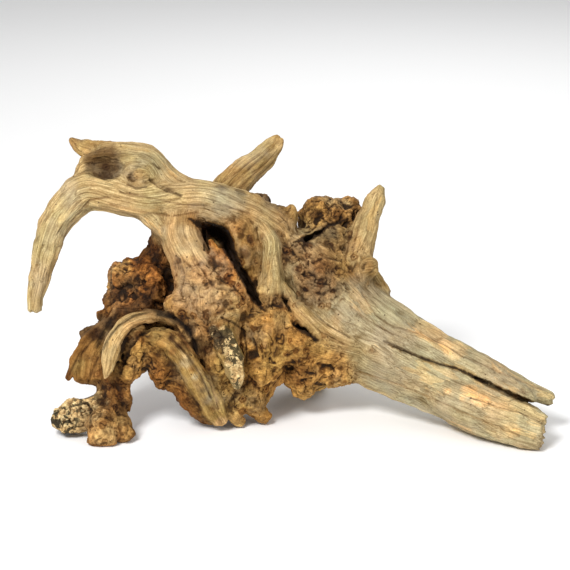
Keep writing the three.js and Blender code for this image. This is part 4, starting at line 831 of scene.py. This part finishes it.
# 2. relief: every point takes the grain of the limbs that it lies on, blended where they meet
def raiseGrain(verts, tris):
    survey = surveyWood(verts)
    nearest = nearestOf(survey, len(verts))
    height = np.zeros(len(verts))
    burl = np.zeros(len(verts))
    weight = np.full(len(verts), 1e-6)
    for order, (name, near, outside, sab) in enumerate(survey):
        share = blendShare(name, outside, nearest[near])
        keep = share > 0.02
        near, share, sab = near[keep], share[keep], sab[keep]
        tone, grain, knobby = lookOf(name)
        if name in limbPaths and knobby < 0.99:
            relief = grainRelief(grainWarp(verts, near, sab, name, skinMarks["knots"]), 100 + 10 * order)
            height[near] += share * grain * (1 - knobby) * relief
        burl[near] += share * knobby
        weight[near] += share
    height /= weight
    burl = burlShare(verts, burl / weight)
    height *= 1 - 0.6 * burl
    height += (1 - burl) * (1.5 * waver(verts / 21.0, 41) + 0.9 * waver(verts / 10.0, 42))
    rough = np.nonzero(burl > 0.03)[0]
    height[rough] += burl[rough] * burlRelief(verts[rough])
    for path in slotPaths.values():
        near, outside, sab = measureLimb(path, verts, 6.0)
        height[near] += 2.6 * ramp(5.0, 1.0, np.abs(outside)) * waver(verts[near] / 6.5, 43)
    for centre, radius in skinMarks["knots"]:
        near, gap, ringed = knotRing(verts, centre, radius)
        height[near] += min(1.8, 0.2 * radius) * np.exp(-(gap / 1.1) ** 2)
        height[near] -= ringed * min(1.8, 0.3 * radius) * np.exp(-((gap - 0.6) / 0.22) ** 2)
    for line, depth, half, look, strength in skinMarks["furrows"]:
        near, gap = lineGap(verts, line, 3 * half)
        height[near] -= depth * np.exp(-(gap / half) ** 2)
    for centre, radius, depth in skinMarks["dents"]:
        height -= depth * np.exp(-(np.linalg.norm(verts - centre, axis=1) / radius) ** 2)
    height *= ramp(0.0, 5.0, verts[:, 2])
    moved = verts + height[:, None] * vertexNormals(verts, tris)
    for name, reach in wood["tornEnds"].items():
        path = limbPaths[name]
        near, outside, sab = measureLimb(path, verts, 8.0)
        tip = ramp(path["length"][-1] - 5.0, path["length"][-1], sab[:, 0]) * (outside < 7)
        pull = waver(sab / np.array([1e3, 6.0, 6.0]), 44) + 0.7 * waver(sab / np.array([1e3, 2.6, 2.6]), 45) - 0.2
        moved[near] += (reach * tip * pull)[:, None] * path["along"][-1]
    moved[:, 2] = np.maximum(moved[:, 2], 0.0)
    return moved


skin = raiseGrain(skin, skinTris)
setVerts(skinMesh, skin)
print("grain raised")
ratio = min(1.0, wood["triangles"] / len(skinTris))
woodMesh = withModifier(skinMesh, "skinRaised", "DECIMATE", {"decimate_type": "COLLAPSE", "ratio": ratio,
                                                             "use_collapse_triangulate": True})
verts, tris = meshArrays(woodMesh)
print("thinned to", len(tris), "triangles")


def shelter(verts, tris, normal, table):  # how much of the open side of each point is closed off near by, which darkens it as painted shade
    look = wood["shelter"]
    reach = look["reach"]
    tree = BVHTree.FromPolygons(verts.tolist(), tris.tolist())
    spread = []
    for i in range(look["rays"]):
        rise = 1 - (i + 0.5) / look["rays"]
        turn = i * look["turn"]
        spread.append((math.sqrt(1 - rise) * math.cos(turn), math.sqrt(1 - rise) * math.sin(turn), math.sqrt(rise)))
    side = np.cross(normal, np.where(np.abs(normal[:, 2:3]) < 0.9, [[0.0, 0.0, 1.0]], [[1.0, 0.0, 0.0]]))
    side /= np.linalg.norm(side, axis=1)[:, None]
    third = np.cross(normal, side)
    start = verts + look["lift"] * normal
    blocked = np.zeros(len(verts))
    for x, y, z in spread:
        ways = x * side + y * third + z * normal
        hits = [tree.ray_cast(Vector(p), Vector(w), reach)[3] for p, w in zip(start.tolist(), ways.tolist())]
        gaps = np.array([reach if hit is None else hit for hit in hits])
        blocked += 1 - gaps / reach
    return meanOver(blocked / len(spread), table, look["evenTurns"])


# 3. marks for the finish: tone, burl, hollow (painted shade), lichen and lightened ridges (painted highlight) on
#    points, grain directions on corners
def markWood(mesh, verts, tris):
    table = neighbourTable(tris, len(verts))
    normal = vertexNormals(verts, tris)
    marks = placeMarks(verts, tris)
    survey = surveyWood(verts)
    nearest = nearestOf(survey, len(verts))
    toneLight = {name: toLinear(tone) for name, tone in wood["tones"].items()}
    tone = np.zeros((len(verts), 3))
    burl = np.zeros(len(verts))
    lichen = np.zeros(len(verts))
    streaky = np.zeros(len(verts))
    weight = np.full(len(verts), 1e-6)
    corner = np.zeros((len(tris), 3, 3), dtype=np.float32)
    best = np.full(len(tris), 1e9, dtype=np.float32)
    for order, (name, near, outside, sab) in enumerate(survey):
        share = blendShare(name, outside, nearest[near])
        look, grain, knobby = lookOf(name)
        tone[near] += share[:, None] * toneLight[look]
        burl[near] += share * knobby
        lichen[near] += share * (look == "lichen")
        streaky[near] += share * wood["calm"].get(name, 1.0)
        weight[near] += share
        far = np.full(len(verts), 60.0, dtype=np.float32)
        far[near] = outside
        warped = np.zeros((len(verts), 3), dtype=np.float32)
        warped[near] = grainWarp(verts, near, sab, name, skinMarks["knots"]) + 137.0 * order
        faceGap = far[tris].mean(1)
        mine = faceGap < best
        best[mine] = faceGap[mine]
        corner[mine] = warped[tris[mine]]
    tone /= weight[:, None]
    burl = burlShare(verts, burl / weight)
    lichen /= weight
    streaky /= weight
    edge = 4.0 * waver(verts / 14.0, 61) + 2.0 * waver(verts / 5.0, 62)
    for centre, radius, look, strength in marks["stains"]:
        gap = np.linalg.norm(verts - centre, axis=1) + min(1.0, radius / 18.0) * edge
        core = 0.88 if look == "peach" else 0.45  # plates have sharp edges
        tone += (strength * ramp(radius, core * radius, gap))[:, None] * (toneLight[look] - tone)
    for line, depth, half, look, strength in marks["furrows"]:
        near, gap = lineGap(verts, line, 3 * half)
        tone[near] += (strength * np.exp(-(gap / half) ** 2))[:, None] * (toneLight[look] - tone[near])
    for centre, radius in marks["knots"]:
        near, gap, ringed = knotRing(verts, centre, radius)
        small = ramp(8.0, 4.0, radius)
        tone[near] += ((0.3 + 0.35 * small) * np.exp(-(gap / 0.9) ** 2))[:, None] * (toneLight["brown"] - tone[near])
        tone[near] += (0.7 * ringed * np.exp(-((gap - 0.6) / 0.28) ** 2))[:, None] * (toneLight["dark"] - tone[near])
    for centre, radius, strength in marks["crustPatches"]:
        gap = np.linalg.norm(verts - centre, axis=1) + 0.5 * edge
        lichen = np.maximum(lichen, strength * ramp(radius, 0.7 * radius, gap))
    # hollow: painted shade, darkest inside cracks, cavities and scoops, and in creases and sheltered spots
    hollow = np.zeros(len(verts))
    for path in slotPaths.values():
        near, outside, sab = measureLimb(path, verts, 8.0)
        hollow[near] = np.maximum(hollow[near], ramp(3.0, -1.0, outside))
    for row in wood["scoops"]:
        near, outside, local = measureBurl(row, verts, 8.0)
        hollow[near] = np.maximum(hollow[near], 0.8 * ramp(2.0, -2.0, outside))
    # painted shade in creases and painted highlight on ridges, from how the surface bends
    worn, eased = wood["worn"], verts
    for turn in range(worn["turns"]):
        eased = eased + worn["step"] * (neighbourMean(eased, table) - eased)
        if turn == worn["fineTurn"]:
            fine = ((eased - verts) * normal).sum(1) / worn["fine"]
    broad = ((eased - verts) * normal).sum(1) / worn["broad"]
    creaseShade = 0.6 * np.clip(fine, 0, 1) + 0.7 * np.clip(broad, 0, 1)
    ridgeHighlight = 0.6 * np.clip(-fine, 0, 1) + 0.4 * np.clip(-broad, 0, 1)
    ridgeHighlight *= 0.6 + 0.4 * burl
    uneven = 0.35 * np.clip(roughWaver(verts / 22.0, 2, 64) + 0.2, 0, 1)
    creaseShade *= 0.3 + 0.6 * burl + uneven
    # painted shade where a point is closed off by wood near by
    shelterShade = ramp(0.38, 0.84, shelter(verts, tris, normal, table))
    creaseShade = np.maximum(creaseShade, shelterShade * (0.6 + 0.3 * burl + uneven))
    hollow = np.clip(np.maximum(hollow, creaseShade), 0, 1)
    # some spots keep less of the painted shade
    for centre, radius, share in marks["softShadeSpots"]:
        hollow *= 1 - share * ramp(radius, 0.6 * radius, np.linalg.norm(verts - centre, axis=1))
    for name, kind, values in (("woodTone", "FLOAT_COLOR", np.hstack([tone, streaky[:, None]])),
                               ("woodMarksAndShading", "FLOAT_COLOR", np.stack([burl, hollow, lichen, ridgeHighlight], 1))):
        layer = mesh.attributes.new(name, kind, "POINT")
        layer.data.foreach_set("color", values.astype(np.float32).ravel())
    layer = mesh.attributes.new("woodGrain", "FLOAT_VECTOR", "CORNER")
    layer.data.foreach_set("vector", corner.ravel())


markWood(woodMesh, verts, tris)
print("finish marked")


# 4. the weathered finish
def addNode(tree, kind, links=None, **settings):
    node = tree.nodes.new(kind)
    for key, value in settings.items():
        setattr(node, key, value)
    for key, value in (links or {}).items():
        socket = node.inputs[key]
        if isinstance(value, bpy.types.NodeSocket):
            tree.links.new(value, socket)
        else:
            socket.default_value = value
    return node


def weatheredWood():
    material = bpy.data.materials.new("weatheredWood")
    material.use_nodes = True
    tree = material.node_tree
    shader = tree.nodes["Principled BSDF"]
    toneMark = addNode(tree, "ShaderNodeAttribute", attribute_name="woodTone")
    tone, streaky = toneMark.outputs["Color"], toneMark.outputs["Alpha"]
    marks = addNode(tree, "ShaderNodeAttribute", attribute_name="woodMarksAndShading")
    split = addNode(tree, "ShaderNodeSeparateColor", {"Color": marks.outputs["Color"]})
    burl, hollow, lichen = split.outputs["Red"], split.outputs["Green"], split.outputs["Blue"]
    ridgeHighlight = marks.outputs["Alpha"]
    grain = addNode(tree, "ShaderNodeAttribute", attribute_name="woodGrain").outputs["Vector"]
    place = addNode(tree, "ShaderNodeTexCoord").outputs["Object"]

    def along(stretch):  # grain space, stretched along the limb
        return addNode(tree, "ShaderNodeVectorMath", {0: grain, 1: stretch}, operation="MULTIPLY").outputs[0]

    def noise(vector, scale, detail, rough=0.55, twist=0.0):
        return addNode(tree, "ShaderNodeTexNoise", {"Vector": vector, "Scale": scale, "Detail": detail,
                                                    "Roughness": rough, "Distortion": twist}).outputs["Fac"]

    def remap(value, low, high, toLow=0.0, toHigh=1.0):
        return addNode(tree, "ShaderNodeMapRange", {"Value": value, "From Min": low, "From Max": high,
                                                    "To Min": toLow, "To Max": toHigh}).outputs["Result"]

    def math2(kind, a, b):
        return addNode(tree, "ShaderNodeMath", {0: a, 1: b}, operation=kind).outputs[0]

    def both(a, b):  # a share of a share
        return math2("MULTIPLY", a, b)

    def blend(fac, a, b, kind="MIX"):
        return addNode(tree, "ShaderNodeMix", {0: fac, 6: a, 7: b}, data_type="RGBA", blend_type=kind).outputs[2]

    def tinted(colour, tint):
        return blend(1.0, colour, tint, "MULTIPLY")

    def wash(fac, colour, value, low, high, dark, light):  # colour times such a tint, by a share
        return blend(fac, colour, tinted(colour, blend(remap(value, low, high), (*dark, 1), (*light, 1))))

    def gapFrom(value, middle):
        return addNode(tree, "ShaderNodeMath", {0: math2("SUBTRACT", value, middle)}, operation="ABSOLUTE").outputs[0]

    def nearHalf(value, wide, thin):  # 1 where a noise passes through its middle, in thin lines
        return remap(gapFrom(value, 0.5), wide, thin)

    # plain wood: long streaks, fine fibres, open checks, soft patches and weathered grey
    streak = noise(along((0.006, 0.17, 0.17)), 1.0, 2.0, 0.55)
    strand = noise(along((0.006, 0.40, 0.40)), 1.0, 2.0, 0.55)
    fineStreak = noise(along((0.009, 0.80, 0.80)), 1.0, 2.0, 0.6)
    checkLine = noise(along((0.006, 0.15, 0.15)), 1.0, 2.0, 0.5)
    hairLine = noise(along((0.005, 0.30, 0.30)), 1.0, 1.0, 0.5)
    checkWhere = noise(along((0.018, 0.06, 0.06)), 1.0, 1.0)
    plate = noise(along((0.012, 0.06, 0.06)), 1.0, 3.0, 0.55)
    patch = noise(place, 34.0, 4.0, 0.62)
    mottle = noise(place, 130.0, 4.0, 0.65)
    bleach = noise(place, 19.0, 3.0, 0.6)
    hue = noise(place, 26.0, 2.0, 0.5)
    colour = wash(1.0, tone, hue, 0.36, 0.64, (1.05, 0.97, 0.92), (0.96, 1.0, 0.94))
    colour = wash(streaky, colour, streak, 0.36, 0.64, (0.66, 0.59, 0.48), (1.16, 1.16, 1.16))
    colour = wash(streaky, colour, strand, 0.34, 0.66, (0.74, 0.68, 0.58), (1.14, 1.14, 1.14))
    colour = wash(remap(streaky, 0.3, 0.8, 0.7, 1.0), colour, fineStreak, 0.34, 0.64,
                  (0.66, 0.60, 0.52), (1.13, 1.13, 1.13))
    patchShare = both(remap(patch, 0.54, 0.72, 0.0, 0.5), remap(streaky, 0.4, 0.9, 0.3, 1.0))
    colour = blend(patchShare, colour, tinted(tone, (0.58, 0.46, 0.33, 1)))
    speck = noise(place, 640.0, 2.0, 0.6)
    colour = wash(1.0, colour, speck, 0.34, 0.66, (0.82, 0.79, 0.74), (1.11, 1.11, 1.11))
    bright = addNode(tree, "ShaderNodeRGBToBW", {"Color": tone}).outputs["Val"]
    fresh = both(remap(streaky, 0.2, 0.32), remap(bright, 0.02, 0.14, 0.05, 1.0))  # torn, dark wood is not bleached
    fresh = both(fresh, remap(bright, 0.50, 0.58, 1.0, 0.2))  # nor are the bare plates
    colour = blend(both(remap(bleach, 0.52, 0.68, 0.0, 0.30), fresh), colour, (0.38, 0.345, 0.265, 1))
    colour = wash(remap(streaky, 0.8, 0.5), colour, plate, 0.57, 0.585, (0.95, 0.965, 0.975), (1.22, 1.12, 1.00))
    colour = wash(remap(streaky, 0.8, 0.5), colour, plate, 0.43, 0.40, (1.0, 1.0, 1.0), (0.90, 0.90, 0.89))
    colour = wash(streaky, colour, mottle, 0.34, 0.64, (0.78, 0.74, 0.67), (1.10, 1.10, 1.10))
    checkMask = both(nearHalf(checkLine, 0.026, 0.006), remap(checkWhere, 0.49, 0.58))
    hairMask = both(nearHalf(hairLine, 0.040, 0.008), remap(checkWhere, 0.56, 0.44))
    checkShare = both(checkMask, remap(streaky, 0.4, 0.9, 0.45, 0.7))
    colour = blend(checkShare, colour, tinted(tone, (0.26, 0.19, 0.12, 1)))
    colour = blend(both(hairMask, 0.55), colour, tinted(tone, (0.40, 0.31, 0.21, 1)))

    # burl skin: dark and pale swirls of its own tone, splits, crumbs
    swirl = noise(place, 62.0, 5.0, 0.68, 0.8)
    swirlTint = blend(remap(swirl, 0.34, 0.50), (0.22, 0.16, 0.11, 1), (0.95, 0.92, 0.88, 1))
    swirlTint = blend(remap(swirl, 0.50, 0.66), swirlTint, (1.95, 2.0, 2.0, 1))
    swirlTint = blend(remap(bright, 0.20, 0.36, 0.0, 0.6), swirlTint, (0.97, 0.95, 0.93, 1))
    burlTone = tinted(tone, swirlTint)
    grit = noise(place, 300.0, 3.0, 0.65)
    gritTint = blend(remap(grit, 0.34, 0.66), (0.48, 0.42, 0.35, 1), (1.32, 1.29, 1.22, 1))
    burlTone = tinted(burlTone, gritTint)
    burlTone = wash(1.0, burlTone, hue, 0.36, 0.64, (1.07, 0.98, 0.88), (0.95, 1.03, 1.01))
    burlBleach = both(remap(bleach, 0.50, 0.66, 0.0, 0.45), fresh)
    burlTone = blend(burlBleach, burlTone, tinted(gritTint, (0.30, 0.24, 0.130, 1)))
    splitMask = both(nearHalf(noise(place, 70.0, 3.0, 0.6, 1.4), 0.020, 0.004), remap(patch, 0.42, 0.56))
    splitShare = both(splitMask, remap(bright, 0.14, 0.30, 0.75, 0.12))
    burlTone = blend(splitShare, burlTone, tinted(tone, (0.14, 0.10, 0.07, 1)))
    colour = blend(both(burl, 0.92), colour, burlTone)

    # eyes of the burled wood: small uneven rings with a dark heart, here and there
    drift = addNode(tree, "ShaderNodeTexNoise", {"Vector": place, "Scale": 210.0, "Detail": 2.0}).outputs["Color"]
    eyePlace = addNode(tree, "ShaderNodeVectorMath", {0: drift, 1: (0.0045, 0.0045, 0.0045), 2: place},
                       operation="MULTIPLY_ADD").outputs[0]
    eyes = addNode(tree, "ShaderNodeTexVoronoi", {"Vector": eyePlace, "Scale": 88.0, "Randomness": 1.0})
    eyePick = addNode(tree, "ShaderNodeSeparateColor", {"Color": eyes.outputs["Color"]})
    eyeGap = math2("DIVIDE", eyes.outputs["Distance"], remap(eyePick.outputs["Green"], 0.0, 1.0, 0.7, 1.35))
    eyeWhere = both(remap(burl, 0.14, 0.32), remap(burl, 0.92, 0.75))
    eyeWhere = both(eyeWhere, math2("GREATER_THAN", eyePick.outputs["Red"], 0.45))
    eyeEdge = gapFrom(eyeGap, 0.25)
    eyeHeart = both(eyeWhere, remap(eyeGap, 0.14, 0.07))
    for mask, share, tint in ((remap(eyeGap, 0.42, 0.18), 0.65, (0.60, 0.43, 0.28, 1)),
                              (remap(eyeEdge, 0.085, 0.035), 0.8, (0.28, 0.18, 0.10, 1)),
                              (eyeHeart, 0.95, (0.14, 0.08, 0.05, 1))):
        colour = blend(both(both(mask, eyeWhere), share), colour, tinted(tone, tint))

    # pin holes: small dark dots, thick on the burled parts
    pins = addNode(tree, "ShaderNodeTexVoronoi", {"Vector": place, "Scale": 190.0, "Randomness": 1.0})
    pinPick = addNode(tree, "ShaderNodeSeparateColor", {"Color": pins.outputs["Color"]}).outputs["Red"]
    pinLimit = remap(burl, 0.0, 0.5, 0.90, 0.62)
    pinMask = both(remap(pins.outputs["Distance"], 0.20, 0.11), math2("GREATER_THAN", pinPick, pinLimit))
    colour = blend(both(pinMask, 0.8), colour, (0.055, 0.028, 0.013, 1))

    # lichen crust, painted highlight on the ridges and painted shade in the hollows
    crust = noise(place, 150.0, 4.0, 0.66, 0.8)
    crustTone = blend(remap(mottle, 0.40, 0.60), (0.42, 0.28, 0.13, 1), (0.62, 0.49, 0.27, 1))
    crustBias = math2("ADD", remap(patch, 0.4, 0.6, -0.04, 0.10), remap(lichen, 0.95, 0.88, 0.0, 0.015))
    crust = math2("ADD", crust, crustBias)
    crustTone = blend(remap(crust, 0.50, 0.54), crustTone, (0.040, 0.034, 0.020, 1))
    colour = blend(lichen, colour, tinted(crustTone, gritTint))
    # painted highlight: ridges lightened
    colour = blend(both(ridgeHighlight, 0.5), colour, tinted(colour, (1.75, 1.66, 1.50, 1)))
    # painted shade: hollows darkened, the deepest near black
    hollowShadeTint = blend(burl, (0.46, 0.36, 0.23, 1), (0.28, 0.20, 0.13, 1))
    colour = blend(remap(hollow, 0.08, 0.55, 0.0, 0.85), colour, tinted(colour, hollowShadeTint))
    colour = blend(remap(hollow, 0.55, 0.95, 0.0, 0.9), colour, (0.018, 0.010, 0.005, 1))
    tree.links.new(colour, shader.inputs["Base Color"])
    tree.links.new(remap(streak, 0.3, 0.7, 0.86, 0.66), shader.inputs["Roughness"])
    shader.inputs["Specular IOR Level"].default_value = 0.14
    height = addNode(tree, "ShaderNodeMix", {0: burl, 2: fineStreak, 3: grit}, data_type="FLOAT").outputs[0]
    gaps = math2("MAXIMUM", math2("MAXIMUM", checkMask, hairMask), math2("MAXIMUM", pinMask, eyeHeart))
    gaps = math2("MAXIMUM", gaps, both(splitMask, burl))
    height = math2("SUBTRACT", height, both(gaps, 0.8))
    bump = addNode(tree, "ShaderNodeBump", {"Height": height, "Strength": 0.7, "Distance": 0.0013})
    tree.links.new(bump.outputs["Normal"], shader.inputs["Normal"])
    return material


woodMesh.name = "driftwood_finished"
woodMesh.materials.clear()
woodMesh.materials.append(weatheredWood())
woodMesh.polygons.foreach_set("use_smooth", np.ones(len(woodMesh.polygons), dtype=bool))
woodPiece = bpy.data.objects.new("driftwood_finished", woodMesh)
scene.collection.objects.link(woodPiece)
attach(woodPiece, "root")
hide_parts("driftwood")
print("driftwood dressed")
